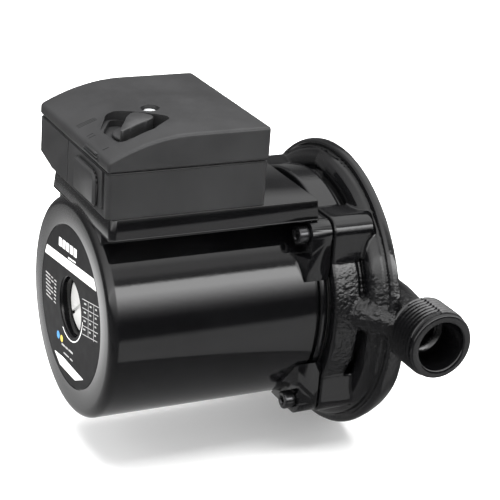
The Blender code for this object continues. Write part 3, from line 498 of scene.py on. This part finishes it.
def build_port(side, name):
    """Threaded end of the casting: a true helix outside, a plain bore inside."""
    face = PORT_FACE
    root = THREAD_RADIUS - 0.64 * THREAD_PITCH
    turns, sides = 8, 96
    rows = []
    for i in range(sides):
        angle = 2 * math.pi * i / sides
        out = Vector((math.sin(angle), 0, math.cos(angle)))
        shift = THREAD_PITCH * i / sides
        points = [(0.0672, 0.0106), (0.0684, 0.0112), (0.0690, 0.0142), (0.0693, root)]
        for k in range(turns + 1):
            base = 0.0694 + (k - 1) * THREAD_PITCH + shift
            for offset, radius in ((0.10, root), (0.5 - 0.06, THREAD_RADIUS),
                                   (0.5 + 0.06, THREAD_RADIUS), (0.90, root)):
                along = min(max(base + offset * THREAD_PITCH, 0.0695), 0.0872)
                fade = min(1.0, (along - 0.0690) / 0.0016, (0.0878 - along) / 0.0012)
                points.append((along, root + (radius - root) * max(0.0, fade)))
        points += [(0.0873, root), (0.0875, 0.0157), (0.0878, 0.0158), (face - 0.0007, 0.0158),
                   (face - 0.0002, 0.0155), (face, 0.0150), (face, 0.0124), (face - 0.0004, 0.0119),
                   (face - 0.0010, 0.0118), (0.0722, 0.0118), (0.0716, 0.0114), (0.0706, 0.0095),
                   (0.0672, 0.0095)]
        rows.append([Vector((0, a * side, 0)) + out * r for a, r in points])
    port = loft(name, rows, True)
    port.data.attributes.new("cast_skin", "FLOAT", "POINT").data.foreach_set(
        "value", [0.16] * len(port.data.vertices))
    return piece(port, "pump", CAST_PAINT, (), 60)


# ---- motor ----------------------------------------------------------------------------------
def build_motor():
    rim, front, rear = MOTOR_RADIUS, MOTOR_FRONT, MOTOR_REAR
    profile = [(-0.0391, 0.0480), (-0.0391, 0.0503), (front, 0.0505), (front, rim - 0.0016),
               (front - 0.0003, rim - 0.0009),
               (front - 0.0008, rim - 0.0006), (front - 0.0030, rim - 0.0006),
               (front - 0.0035, rim - 0.0010), (front - 0.0038, rim - 0.0026),
               (front - 0.0052, rim - 0.0026), (front - 0.0056, rim - 0.0008),
               (front - 0.0062, rim - 0.0001), (front - 0.0070, rim)]
    profile += [(front - 0.0070 - 0.0955 * k / 8, rim) for k in range(1, 9)]
    profile += arc((rear + 0.0045, rim - 0.0045), 0.0045, 90, 180, 14)
    profile += [(rear, 0.0391), (rear + 0.0001, 0.0388), (rear + 0.0006, 0.0387),
                (rear + 0.0006, 0.0146), (rear + 0.0009, 0.0142), (rear + 0.0014, 0.0140),
                (-0.1340, 0.0140), (-0.1340, 0.0094), (-0.1260, 0.0094), (-0.1260, 0.0180),
                (-0.1415, 0.0180), (-0.1415, 0.0480)]
    body = lathe("motor_shell", profile, steps=256, ring=True)
    piece(body, "pump", PAINT, ["motor_housing"], 40)

    web = box("web", (-0.1438, -0.0300, 0.0380), (-0.0500, 0.0240, 0.0510))
    outline = [(-0.0440, -0.0442), (-0.0440, 0.0284), (-0.1455, 0.0284)]
    outline += arc((-0.1425, -0.0412), 0.0030, 180, 270, 10)
    slab = prism("slab", outline, 0.0497, PLATE_TOP)
    for vertex in slab.data.vertices:
        if vertex.co.z > 0.055:                            # draft: the sides lean in towards the top
            vertex.co.x += 0.0007 if vertex.co.x < -0.1 else -0.0003
            vertex.co.y += 0.0016 if vertex.co.y < 0 else -0.0010
    lip = prism("lip", [(x, y * 1.004) for x, y in outline], 0.0490, 0.0499)
    bevelled(web, 0.0004, 3)
    bevelled(slab, 0.0004, 3)
    bevelled(lip, 0.0003, 2)
    pedestal = joined("motor_pedestal", [web, slab, lip])
    piece(pedestal, "pump", PAINT, (), 40)

    lug = prism("lug", corner_outline(0.0068, 0.0210, 0.0335), -0.0560, MOTOR_FRONT, axis="X")
    slope = prism("slope", [(-0.0500, -0.0600), (-0.0500, -0.0490), (-0.0545, -0.0385),
                            (-0.0545, -0.0200), (-0.0700, -0.0200), (-0.0700, -0.0600)],
                  0.0, 0.0600)
    relief = box("relief", (-0.0700, -0.0600, 0.0322), (BOLT_SEAT, 0.0, 0.0600))
    pocket = bar("pocket", (BOLT_SEAT, -BOLT_SQUARE, BOLT_SQUARE), (-0.0620, -BOLT_SQUARE, BOLT_SQUARE),
                 0.0098, sides=64)
    hole = bar("hole", (-0.0600, -BOLT_SQUARE, BOLT_SQUARE), (-0.0380, -BOLT_SQUARE, BOLT_SQUARE),
               0.0028, sides=32)
    inside = lathe("inside", [(-0.0700, 0.0), (-0.0700, 0.0500), (-0.0300, 0.0500), (-0.0300, 0.0)])
    boolean(lug, [slope, relief, pocket, hole, inside])
    bevelled(lug, 0.0007, 3, 30)
    lugs = joined("motor_lugs", four(lug, "lug"))
    piece(lugs, "pump", PAINT, (), 40)


def clipped_band(low_line, high_line, radius, steps=24):
    """Outline between two straight lines, cut off by a circle round the shaft."""
    def crossings(line):
        (y0, z0), (y1, z1) = line
        d = Vector((y1 - y0, z1 - z0)).normalized()
        p = Vector((y0, z0))
        b = p.dot(d)
        root = math.sqrt(b * b - p.length_squared + radius * radius)
        return p + d * (-b - root), p + d * (-b + root)
    a, b = crossings(low_line)
    c, d = crossings(high_line)

    def along(p, q):
        s, e = math.atan2(p[1], p[0]), math.atan2(q[1], q[0])
        turn = (e - s + math.pi) % (2 * math.pi) - math.pi
        return [(radius * math.cos(s + turn * i / steps), radius * math.sin(s + turn * i / steps))
                for i in range(steps + 1)]
    return along(c, a) + along(b, d)


def build_label():
    rear = MOTOR_REAR + 0.00015
    film = lathe("label_film", [(rear + 0.0003, 0.0144), (rear, 0.01445), (rear, 0.03835),
                                (rear + 0.0003, 0.0384)], steps=192, ring=True)
    piece(film, "pump", FOIL, ["rating_label"], 40)
    front = rear - 0.00006

    def ink(name, outlines, look_of):
        sheets = [prism(f"{name}_{i}", [(y / 1000, z / 1000) for y, z in outline], front, rear + 0.00002,
                        axis="X") for i, outline in enumerate(outlines)]
        return piece(joined(name, sheets), "pump", look_of, (), 40)

    def stroke(y0, z0, y1, z1, width):
        d = Vector((y1 - y0, z1 - z0)).normalized() * width / 2
        return [(y0 - d.y, z0 + d.x), (y1 - d.y, z1 + d.x), (y1 + d.y, z1 - d.x), (y0 + d.y, z0 - d.x)]

    white = [clipped_band(((36.4, 13.4), (-31.3, 21.1)), ((34.2, 18.3), (-29.9, 25.9)), 38.0),
             [(18.7, -30.5), (10.7, -34.4), (-9.5, -33.2), (-19.9, -28.0), (7.6, -28.9)]]
    arc_points = arc((0, 0), 16.3, 182, 302, 20)
    for p, q in zip(arc_points, arc_points[1:]):
        white.append(stroke(p[0], p[1], q[0], q[1], 0.5))
    ink("label_print_white", white, PRINT_WHITE)

    grey = []
    tilt = -0.125
    for row in range(7):                                   # block of small print, as plain bars
        z = 4.2 - row * 1.85
        for k, (start, length) in enumerate(((34.0 - 0.25 * row, 6.4), (26.6, 2.2 + row % 3), (22.6, 2.6))):
            if row in (2, 5) and k == 1:
                continue
            start -= 0.4 * k
            grey.append(stroke(start, z + (36 - start) * tilt * -0.3, start - length,
                               z + (36 - start + length) * tilt * -0.3, 0.62))
    for row in range(5):                                   # ruled table
        z = 10.6 - row * 4.2
        grey.append(stroke(-15.0 - row * 0.4, z, -35.3, z + 4.3, 0.32))
    for y, low, high in ((-22.6, -4.9, 12.2), (-29.4, -3.9, 13.6)):
        grey.append(stroke(y, high, y - 1.3, low, 0.32))
    for row in range(4):                                   # bars in its cells
        z = 8.8 - row * 4.2
        for start, length in ((-17.6, 2.6), (-24.6, 2.2), (-31.4, 1.8)):
            lift = (-start - 15.0) * 0.21
            grey.append(stroke(start, z + lift, start - length, z + lift + length * 0.21, 0.75))
    for start, z, length, width in ((9.5, -22.9, 4.2, 0.9), (4.4, -22.4, 3.2, 0.9), (0.2, -21.9, 5.6, 0.9),
                                    (6.5, -26.2, 7.0, 0.7), (-2.0, -25.5, 3.5, 0.7)):
        grey.append(stroke(start, z, start - length, z + length * 0.1, width))
    ink("label_print_grey", grey, PRINT_GREY)
    letters = []                                           # heading, as a row of plain blocks
    for k in range(5):
        y = 17.2 - k * 4.9
        letters.append([(y, 24.2 + k * 0.55), (y - 3.6, 24.6 + k * 0.55), (y - 3.6, 28.8 + k * 0.5),
                        (y, 28.4 + k * 0.5)])
    letters.append(stroke(4.5, 22.9, -5.0, 24.2, 0.7))
    ink("label_heading", letters, PRINT_WHITE)
    ink("label_dot_blue", [arc((14.4, -20.4), 1.9, 0, 345, 23)], PRINT_BLUE)
    ink("label_dot_yellow", [arc((9.8, -20.4), 1.7, 0, 345, 23)], PRINT_YELLOW)


def build_bleed_screw():
    head = -0.1410
    screw = lathe("bleed_plug", [
        (-0.1275, 0.0), (-0.1275, 0.0084), (-0.1283, 0.0090), (-0.1343, 0.0090), (-0.1343, 0.0103),
        (-0.1352, 0.0103), (-0.1352, 0.0126), (-0.1355, 0.0130), (head + 0.0009, 0.0130),
        (head + 0.0003, 0.0127), (head + 0.00005, 0.0121), (head, 0.0116), (head, 0.0)], steps=128)
    slot = box("slot", (head - 0.001, -0.0140, -0.0010), (head + 0.0015, 0.0140, 0.0010))
    spin(slot, -38, "X")
    boolean(screw, [slot])
    bevelled(screw, 0.00018, 2, 50)
    piece(screw, "bleed_plug", CHROME, ["bleed_screw"], 30)


def build_bolts():
    seat = BOLT_SEAT - GAP
    for number, (sy, sz) in enumerate(((-1, 1), (1, 1), (1, -1), (-1, -1)), start=1):
        at = (0, sy * BOLT_SQUARE, sz * BOLT_SQUARE)
        bolt = lathe(f"bolt_{number}", [
            (-0.0240, 0.0), (-0.0240, 0.0021), (-0.0245, 0.0025), (seat, 0.0025), (seat, 0.0041),
            (seat - 0.0002, 0.0043), (seat - 0.0043, 0.0043), (seat - 0.0048, 0.0041),
            (seat - 0.0050, 0.0036), (seat - 0.0050, 0.0)], at=at, steps=64)
        socket = bar("socket", (seat - 0.0060, at[1], at[2]), (seat - 0.0024, at[1], at[2]), 0.0024, sides=6)
        boolean(bolt, [socket])
        bevelled(bolt, 0.00015, 2, 50)
        piece(bolt, "pump", DARK_STEEL, [f"flange_bolt_{number}"], 30)


# ---- terminal box ---------------------------------------------------------------------------
def crown(x):
    return BOX_TOP - max(0.0, CROWN_START - x) ** 2 / (2 * CROWN_RADIUS)


def lid_outline(inset, bottom):
    x0, x1 = BOX_REAR - 0.0002 + inset, BOX_FRONT + GAP - inset
    steps = 48
    xs = [x0 + (x1 - x0) * i / steps for i in range(steps + 1)]
    return [(x0, bottom)] + [(x, crown(x) - inset) for x in xs] + [(x1, bottom)]


def wrap(points):
    """Convex outline round a set of points."""
    points = sorted(points)
    hull = []
    for run in (points, points[::-1]):
        side = []
        for p in run:
            while len(side) > 1 and ((side[-1][0] - side[-2][0]) * (p[1] - side[-2][1])
                                     <= (side[-1][1] - side[-2][1]) * (p[0] - side[-2][0])):
                side.pop()
            side.append(p)
        hull += side[:-1]
    return hull


def pit_outline(inset, shift=(0.0, 0.0)):
    points = []
    for x, y, radius in PIT_ROUNDS:
        points += arc((KNOB_X + shift[0] + x, KNOB_Y + shift[1] + y), radius + inset, 0, 355, 71)
    return wrap(points)


def build_lid():
    bottom = BOX_SEAM + GAP
    near, far = BOX_NEAR - GAP, BOX_FAR + GAP
    lid = prism("lid", lid_outline(0.0, bottom), near, far, axis="Y")
    soft = lid.modifiers.new("Edges", "BEVEL")
    soft.width = 0.0017
    soft.segments = 5
    soft.limit_method = "ANGLE"
    soft.angle_limit = math.radians(50)
    apply_all(lid)
    inside = prism("inside", lid_outline(LID_WALL, bottom - 0.002), near + LID_WALL, far - LID_WALL,
                   axis="Y")
    boolean(lid, [inside])
    well = prism("well", pit_outline(0.0014), PIT_FLOOR - 0.0014, BOX_TOP + 0.001)
    boolean(well, [prism("limit", lid_outline(0.0010, 0.0800), near, far, axis="Y")], "INTERSECT")
    screw_tube = bar("screw_tube", (SCREW_X, SCREW_Y, 0.0880), (SCREW_X, SCREW_Y, 0.0950), 0.0056)
    boolean(lid, [well, screw_tube], "UNION")
    upper = prism("upper_pit", pit_outline(0.0), 0.0893, 0.1000)
    lower = prism("lower_pit", pit_outline(-0.0002, (0.0010, -0.0012)), PIT_FLOOR, 0.0900)
    stem_hole = bar("stem_hole", (KNOB_X, KNOB_Y, 0.0800), (KNOB_X, KNOB_Y, 0.0880), 0.0036)
    recess = bar("recess", (SCREW_X, SCREW_Y, 0.0910), (SCREW_X, SCREW_Y, 0.0980), 0.0043)
    screw_pass = bar("screw_pass", (SCREW_X, SCREW_Y, 0.0840), (SCREW_X, SCREW_Y, 0.0920), 0.0019)
    boolean(lid, [upper, lower, stem_hole, recess, screw_pass])
    marks = []
    for strokes, y, step, length in ((3, 0.0002, 0.0014, 0.0092), (2, -0.0136, 0.0026, 0.0032),
                                     (1, -0.0314, 0.0, 0.0030)):
        for number in range(strokes):
            at = y + (number - (strokes - 1) / 2) * -step
            middle = -0.1456 + length / 2
            groove = box("groove", (-length / 2, -0.00020, -0.0006), (length / 2, 0.00020, 0.0008))
            slope = math.atan2(crown(middle + 0.001) - crown(middle - 0.001), 0.002)
            groove.data.transform(Matrix.Translation((middle, at, crown(middle)))
                                  @ Matrix.Rotation(math.radians(-6), 4, "Z")
                                  @ Matrix.Rotation(-slope, 4, "Y"))
            marks.append(groove)
    boolean(lid, marks)
    piece(lid, "pump", BOX_PLASTIC, ["terminal_lid"], 28)

    ribs = []
    for number in range(3):
        z = 0.0822 + 0.0013 * number
        rib = box("rib", (BOX_REAR - 0.0008, -0.0335 + 0.0012 * number, z),
                  (BOX_REAR + 0.0004, -0.0150 - 0.0012 * number, z + 0.0006))
        bevelled(rib, 0.0002, 2)
        ribs.append(rib)
    piece(joined("lid_ribs", ribs), "pump", BOX_PLASTIC, (), 40)


def plan(inset, radius=0.0022):
    x0, x1, y0, y1 = BOX_REAR + inset, BOX_FRONT - inset, BOX_NEAR + inset, BOX_FAR - inset
    radius = max(0.0004, radius - inset)
    outline = []
    for cx, cy, start in ((x1 - radius, y1 - radius, 0), (x0 + radius, y1 - radius, 90),
                          (x0 + radius, y0 + radius, 180), (x1 - radius, y0 + radius, 270)):
        outline += arc((cx, cy), radius, start, start + 90, 8)
    return outline


def build_base():
    base = prism("base", plan(0.0), BOX_FLOOR, BOX_SEAM)
    inside = prism("inside", plan(BASE_WALL), BOX_FLOOR + 0.0025, BOX_SEAM + 0.001)
    slant = prism("slant", [(0.0250, BOX_FLOOR - 0.001), (0.0250, BOX_FLOOR), (0.0460, BOX_FLOOR + 0.0044),
                            (0.0460, BOX_FLOOR - 0.001)], BOX_REAR - 0.01, BOX_FRONT + 0.01, axis="X")
    lift = prism("lift", [(0.0250, BOX_FLOOR), (0.0250, BOX_FLOOR + 0.0025),
                          (0.0460, BOX_FLOOR + 0.0070), (0.0460, BOX_FLOOR)],
                 BOX_REAR - 0.01, BOX_FRONT + 0.01, axis="X")
    boolean(inside, [lift])
    rim = prism("rim_step", plan(-0.002), BOX_SEAM - 0.0005, BOX_SEAM + 0.001)
    rim_core = prism("rim_core", plan(0.0006), BOX_SEAM - 0.002, BOX_SEAM + 0.002)
    boolean(rim, [rim_core])
    gland = bar("gland_hole", (GLAND_X, 0.0370, GLAND_Z), (GLAND_X, 0.0470, GLAND_Z), 0.0062)
    duct = bar("duct_hole", (DUCT_X, 0, 0.0570), (DUCT_X, 0, 0.0640), 0.0050)
    groove = box("corner_groove", (BOX_REAR - 0.001, -0.0402, 0.0625), (BOX_REAR + 0.0016, -0.0372, 0.0795))
    crease = box("mould_line", (BOX_REAR - 0.001, 0.0040, 0.0600), (BOX_REAR + 0.0003, 0.0050, 0.0810))
    boolean(base, [slant, inside, rim, gland, duct, groove, crease])
    holes = [bar("screw_pass", (x, y, 0.0570), (x, y, 0.0640), 0.0023) for x, y in BASE_SCREWS]
    boolean(base, holes)
    bevelled(base, 0.0004, 2, 40)
    boss = prism("base_details", [(-0.0335, 0.0617), (-0.0078, 0.0617), (-0.0078, 0.0774),
                                  (-0.0302, 0.0774), (-0.0335, 0.0741)],
                 BOX_REAR - 0.0022, BOX_REAR + 0.0006, axis="X")
    wide = boss.modifiers.new("Chamfer", "BEVEL")
    wide.width = 0.0021
    wide.segments = 1
    wide.limit_method = "ANGLE"
    apply_all(boss)
    bevelled(boss, 0.0003, 2, 20)
    piece(base, "pump", BOX_PLASTIC, ["terminal_box_base"], 30)
    piece(boss, "pump", BOX_PLASTIC, (), 30)


def build_lid_screw():
    top = SCREW_TOP
    at = (SCREW_X, SCREW_Y, 0)
    screw = lathe("cover_screw", [
        (top, 0.0), (top, 0.0020), (top - 0.0002, 0.0028), (top - 0.0008, 0.0034), (top - 0.0016, 0.0037),
        (0.0913, 0.0037), (0.0913, 0.0016), (0.0660, 0.0016), (0.0655, 0.0011), (0.0655, 0.0)],
        axis="Z", at=at, steps=64)
    blades = []
    for turn in (20, 110):
        blade = box("blade", (-0.0022, -0.00035, top - 0.0014), (0.0022, 0.00035, top + 0.001))
        spin(blade, turn)
        blade.data.transform(Matrix.Translation(at))
        blades.append(blade)
    boolean(screw, blades)
    bevelled(screw, 0.00012, 2, 50)
    piece(screw, "pump", BRIGHT_ZINC, ["lid_screw"], 30)


def build_knob():
    at = (KNOB_X, KNOB_Y, 0)
    disc = lathe("selector", [
        (0.0885, 0.0), (0.0885, 0.0088), (0.0883, 0.0094), (0.0878, 0.0098), (0.0871, 0.0098),
        (0.0869, 0.0096), (0.0869, 0.0033), (0.0770, 0.0033), (0.0770, 0.0)], axis="Z", at=at, steps=96)
    side = [(-0.0129, 0.0004), (-0.0110, 0.0012), (-0.0085, 0.0019), (-0.0060, 0.0026), (-0.0030, 0.0035),
            (0.0, 0.0045), (0.0030, 0.0052), (0.0058, 0.0055), (0.0078, 0.0050), (0.0090, 0.0034),
            (0.0094, 0.0012)]
    grip = prism("grip", side + [(x, -y) for x, y in reversed(side)], 0.0872, 0.0960)
    shoulder = prism("shoulder", [(-0.0200, 0.0922), (-0.0080, 0.0938), (0.0010, 0.0950), (0.0120, 0.0954),
                                  (0.0120, 0.1000), (-0.0200, 0.1000)], -0.0200, 0.0200, axis="Y")
    boolean(grip, [shoulder])
    bevelled(grip, 0.0004, 3, 50)
    spin(grip, KNOB_AIM)
    grip.data.transform(Matrix.Translation(at))
    knob = joined("selector_knob", [disc, grip])
    piece(knob, "selector", KNOB_PLASTIC, ["speed_knob"], 40)


def build_gland():
    at = (GLAND_X, 0, GLAND_Z)
    wall = BOX_FAR
    body = lathe("gland_collar", [
        (wall + 0.0100, 0.0042), (wall + 0.0100, 0.0059), (wall + 0.0040, 0.0059), (wall + 0.0040, 0.0080),
        (wall + 0.0036, 0.0085), (wall + 0.0006, 0.0085), (wall + 0.0002, 0.0080), (wall - 0.0018, 0.0080),
        (wall - 0.0018, 0.0059), (wall - 0.0080, 0.0059), (wall - 0.0080, 0.0042)],
        axis="Y", at=at, steps=96, ring=True)
    piece(body, "pump", NUT_PLASTIC, ["gland_body"], 40)
    rows = []
    sides = 144
    for i in range(sides):
        angle = 2 * math.pi * i / sides
        rib = 0.00035 * (0.5 + 0.5 * math.cos(angle * 18)) ** 2
        out = Vector((math.sin(angle), 0, math.cos(angle)))
        profile = [(wall + 0.0140, 0.0035), (wall + 0.0140, 0.0062), (wall + 0.0136, 0.0068),
                   (wall + 0.0124, 0.0080), (wall + 0.0112, 0.0082 + rib), (wall + 0.0056, 0.0082 + rib),
                   (wall + 0.0050, 0.0080), (wall + 0.0046, 0.0078), (wall + 0.0046, 0.0062),
                   (wall + 0.0106, 0.0062), (wall + 0.0106, 0.0035)]
        rows.append([Vector(at) + Vector((0, a, 0)) + out * r for a, r in profile])
    cap = loft("gland_nut", rows, True)
    piece(cap, "pump", NUT_PLASTIC, ["gland_cap"], 40)


# ---- studio ---------------------------------------------------------------------------------
# Tent brightness as (degrees round the shaft, strength). RIGHT_SKY follows brightness that a separate
# program measured in the photo, rounded and adjusted by hand; LEFT_SKY was set by comparing renders.
RIGHT_SKY = ((-180, 0.02), (-167, 0.02), (-162, 0.80), (-145, 0.80), (-110, 0.42), (-92, 0.26),
             (-82, 0.15), (-60, 0.08), (-45, 0.05), (-24, 0.04), (-16, 0.12), (4, 0.22), (14, 0.18),
             (24, 0.12), (34, 0.16), (46, 1.10), (75, 1.80),
             (112, 2.00), (120, 1.50), (124, 1.00), (131, 0.95), (135, 0.45), (140, 0.30),
             (141.5, 7.0), (150, 7.0), (155, 5.0), (160, 3.0), (165, 1.4), (170, 0.5), (175, 0.10),
             (178, 0.02), (180, 0.02))
LEFT_SKY = ((-180, 0.10), (-150, 0.20), (-90, 0.22), (-50, 0.16), (-24, 0.12), (0, 0.18), (26, 0.35),
            (60, 0.80), (90, 1.30), (120, 1.80), (138, 2.2), (143, 3.2), (155, 2.0), (165, 0.8),
            (175, 0.15), (180, 0.10))
BRIGHTEST = 7.0
# Camera pose, fitted to measured points of the photo by a separate program and rounded.
CAMERA_PLACE = Vector((-0.39569, -0.65893, 0.31614))
CAMERA_RIGHT = Vector((0.898704, -0.432866, 0.070411))
CAMERA_UP = Vector((0.103239, 0.364859, 0.925321))
CAMERA_AHEAD = Vector((0.426230, 0.824321, -0.372589))
CAMERA_LENS = 119.79            # mm, on a 36 mm sensor


def stage_piece(obj, glossy=True, diffuse=False):
    """A studio card or tent that the camera doesn't see: it only shows in reflections or as light."""
    obj.visible_camera = False
    obj.visible_shadow = False
    obj.visible_transmission = False
    obj.visible_glossy = glossy
    obj.visible_diffuse = diffuse
    return obj


def emitter(name):
    mat = bpy.data.materials.new(name)
    mat.use_nodes = True
    tree = mat.node_tree
    tree.nodes.remove(tree.nodes["Principled BSDF"])
    glow = tree.nodes.new("ShaderNodeEmission")
    tree.links.new(glow.outputs["Emission"], tree.nodes["Material Output"].inputs["Surface"])
    return mat, tree, glow


def sky_ramp(tree, value, stops, low, high):
    """Brightness against a value: stops are (value, strength) pairs between low and high."""
    ramp = tree.nodes.new("ShaderNodeValToRGB")
    elements = ramp.color_ramp.elements
    for number, (at, strength) in enumerate(stops):
        spot = (at - low) / (high - low)
        element = elements[number] if number < 2 else elements.new(spot)
        element.position = spot
        element.color = (strength / BRIGHTEST,) * 3 + (1.0,)
    tree.links.new(value, ramp.inputs["Fac"])
    return ramp.outputs["Color"]


def build_tent():
    """A light tent all round: its brightness depends on the height angle seen along the shaft."""
    bm = bmesh.new()
    bmesh.ops.create_uvsphere(bm, u_segments=48, v_segments=24, radius=4.0)
    mesh = bpy.data.meshes.new("light_tent")
    bm.to_mesh(mesh)
    bm.free()
    tent = bpy.data.objects.new("light_tent", mesh)
    bpy.context.scene.collection.objects.link(tent)
    mat, tree, glow = emitter("tent_light")
    coords = tree.nodes.new("ShaderNodeTexCoord")
    unit = tree.nodes.new("ShaderNodeVectorMath")
    unit.operation = "NORMALIZE"
    tree.links.new(coords.outputs["Object"], unit.inputs[0])
    axes = tree.nodes.new("ShaderNodeSeparateXYZ")
    tree.links.new(unit.outputs["Vector"], axes.inputs["Vector"])
    turn = tree.nodes.new("ShaderNodeMath")
    turn.operation = "ARCTAN2"
    tree.links.new(axes.outputs["Z"], turn.inputs[0])
    tree.links.new(axes.outputs["Y"], turn.inputs[1])
    part = tree.nodes.new("ShaderNodeMapRange")
    part.inputs["From Min"].default_value = -math.pi
    part.inputs["From Max"].default_value = math.pi
    tree.links.new(turn.outputs[0], part.inputs["Value"])
    side = tree.nodes.new("ShaderNodeMapRange")
    side.interpolation_type = "SMOOTHSTEP"
    side.inputs["From Min"].default_value = -0.20
    side.inputs["From Max"].default_value = 0.15
    tree.links.new(axes.outputs["X"], side.inputs["Value"])
    blend = tree.nodes.new("ShaderNodeMix")
    blend.data_type = "RGBA"
    tree.links.new(side.outputs["Result"], blend.inputs["Factor"])
    tree.links.new(sky_ramp(tree, part.outputs["Result"], LEFT_SKY, -180, 180), blend.inputs["A"])
    tree.links.new(sky_ramp(tree, part.outputs["Result"], RIGHT_SKY, -180, 180), blend.inputs["B"])
    tree.links.new(blend.outputs["Result"], glow.inputs["Color"])
    glow.inputs["Strength"].default_value = BRIGHTEST
    mesh.materials.append(mat)
    stage_piece(tent)


def build_floor_glow():
    """Bright patch of floor behind the motor, which its rear face mirrors."""
    centre, reach = (-0.200, 0.145), 0.30
    bm = bmesh.new()
    bmesh.ops.create_circle(bm, cap_ends=True, segments=48, radius=reach)
    mesh = bpy.data.meshes.new("floor_patch")
    bm.to_mesh(mesh)
    bm.free()
    patch = bpy.data.objects.new("floor_patch", mesh)
    patch.location = (centre[0], centre[1], FLOOR_Z + 0.0005)
    bpy.context.scene.collection.objects.link(patch)
    mat, tree, glow = emitter("patch_light")
    coords = tree.nodes.new("ShaderNodeTexCoord")
    away = tree.nodes.new("ShaderNodeVectorMath")
    away.operation = "LENGTH"
    tree.links.new(coords.outputs["Object"], away.inputs[0])
    stops = ((0.0, 1.9), (0.04, 1.6), (0.08, 1.1), (0.12, 0.75), (0.20, 0.35), (0.30, 0.15))
    tree.links.new(sky_ramp(tree, away.outputs["Value"], stops, 0.0, 1.0), glow.inputs["Color"])
    glow.inputs["Strength"].default_value = BRIGHTEST
    mesh.materials.append(mat)
    stage_piece(patch)


def soft_light(name, corners, strength):
    bm = bmesh.new()
    bm.faces.new([bm.verts.new(c) for c in corners])
    obj = new_object(name, bm)
    mat, _tree, glow = emitter(name + "_light")
    glow.inputs["Strength"].default_value = strength
    obj.data.materials.append(mat)
    stage_piece(obj, glossy=False, diffuse=True)


def build_studio():
    bm = bmesh.new()
    reach = 30.0
    bm.faces.new([bm.verts.new((x * reach, y * reach, FLOOR_Z))
                  for x, y in ((-1, -1), (1, -1), (1, 1), (-1, 1))])
    floor = new_object("floor", bm)
    mat = bpy.data.materials.new("pale_floor")
    mat.use_nodes = True
    shader = mat.node_tree.nodes["Principled BSDF"]
    shader.inputs["Base Color"].default_value = (0.86, 0.86, 0.86, 1)
    shader.inputs["Roughness"].default_value = 0.9
    shader.inputs["Specular IOR Level"].default_value = 0.1
    shader.inputs["Emission Color"].default_value = (1, 1, 1, 1)
    shader.inputs["Emission Strength"].default_value = 0.22
    floor.data.materials.append(mat)
    floor.visible_glossy = False

    world = bpy.data.worlds.new("studio")
    world.use_nodes = True
    background = world.node_tree.nodes["Background"]
    background.inputs["Color"].default_value = (1, 1, 1, 1)
    background.inputs["Strength"].default_value = 0.92
    bpy.context.scene.world = world

    build_tent()
    build_floor_glow()
    soft_light("top_light", [(-0.8, -0.7, 1.2), (0.7, -0.7, 1.2), (0.7, 0.8, 1.2), (-0.8, 0.8, 1.2)], 9.0)
    soft_light("rear_light", [(-1.3, -0.6, 0.0), (-1.3, 0.7, 0.0), (-1.3, 0.7, 1.0), (-1.3, -0.6, 1.0)], 3.0)


def build_camera():
    camera = bpy.data.cameras.new("camera")
    camera.sensor_width = 36.0
    camera.lens = CAMERA_LENS
    obj = bpy.data.objects.new("camera", camera)
    bpy.context.scene.collection.objects.link(obj)
    turn = Matrix((CAMERA_RIGHT, CAMERA_UP, -CAMERA_AHEAD)).transposed().to_4x4()
    turn.translation = CAMERA_PLACE
    obj.matrix_world = turn
    bpy.context.scene.camera = obj


build_casting()
build_port(-1, "near_port")
build_port(1, "far_port")
build_motor()
build_label()
build_bleed_screw()
build_bolts()
build_lid()
build_base()
build_lid_screw()
build_knob()
build_gland()
build_studio()
build_camera()
bpy.context.scene.view_settings.view_transform = "Standard"
bpy.context.scene.view_settings.look = "None"
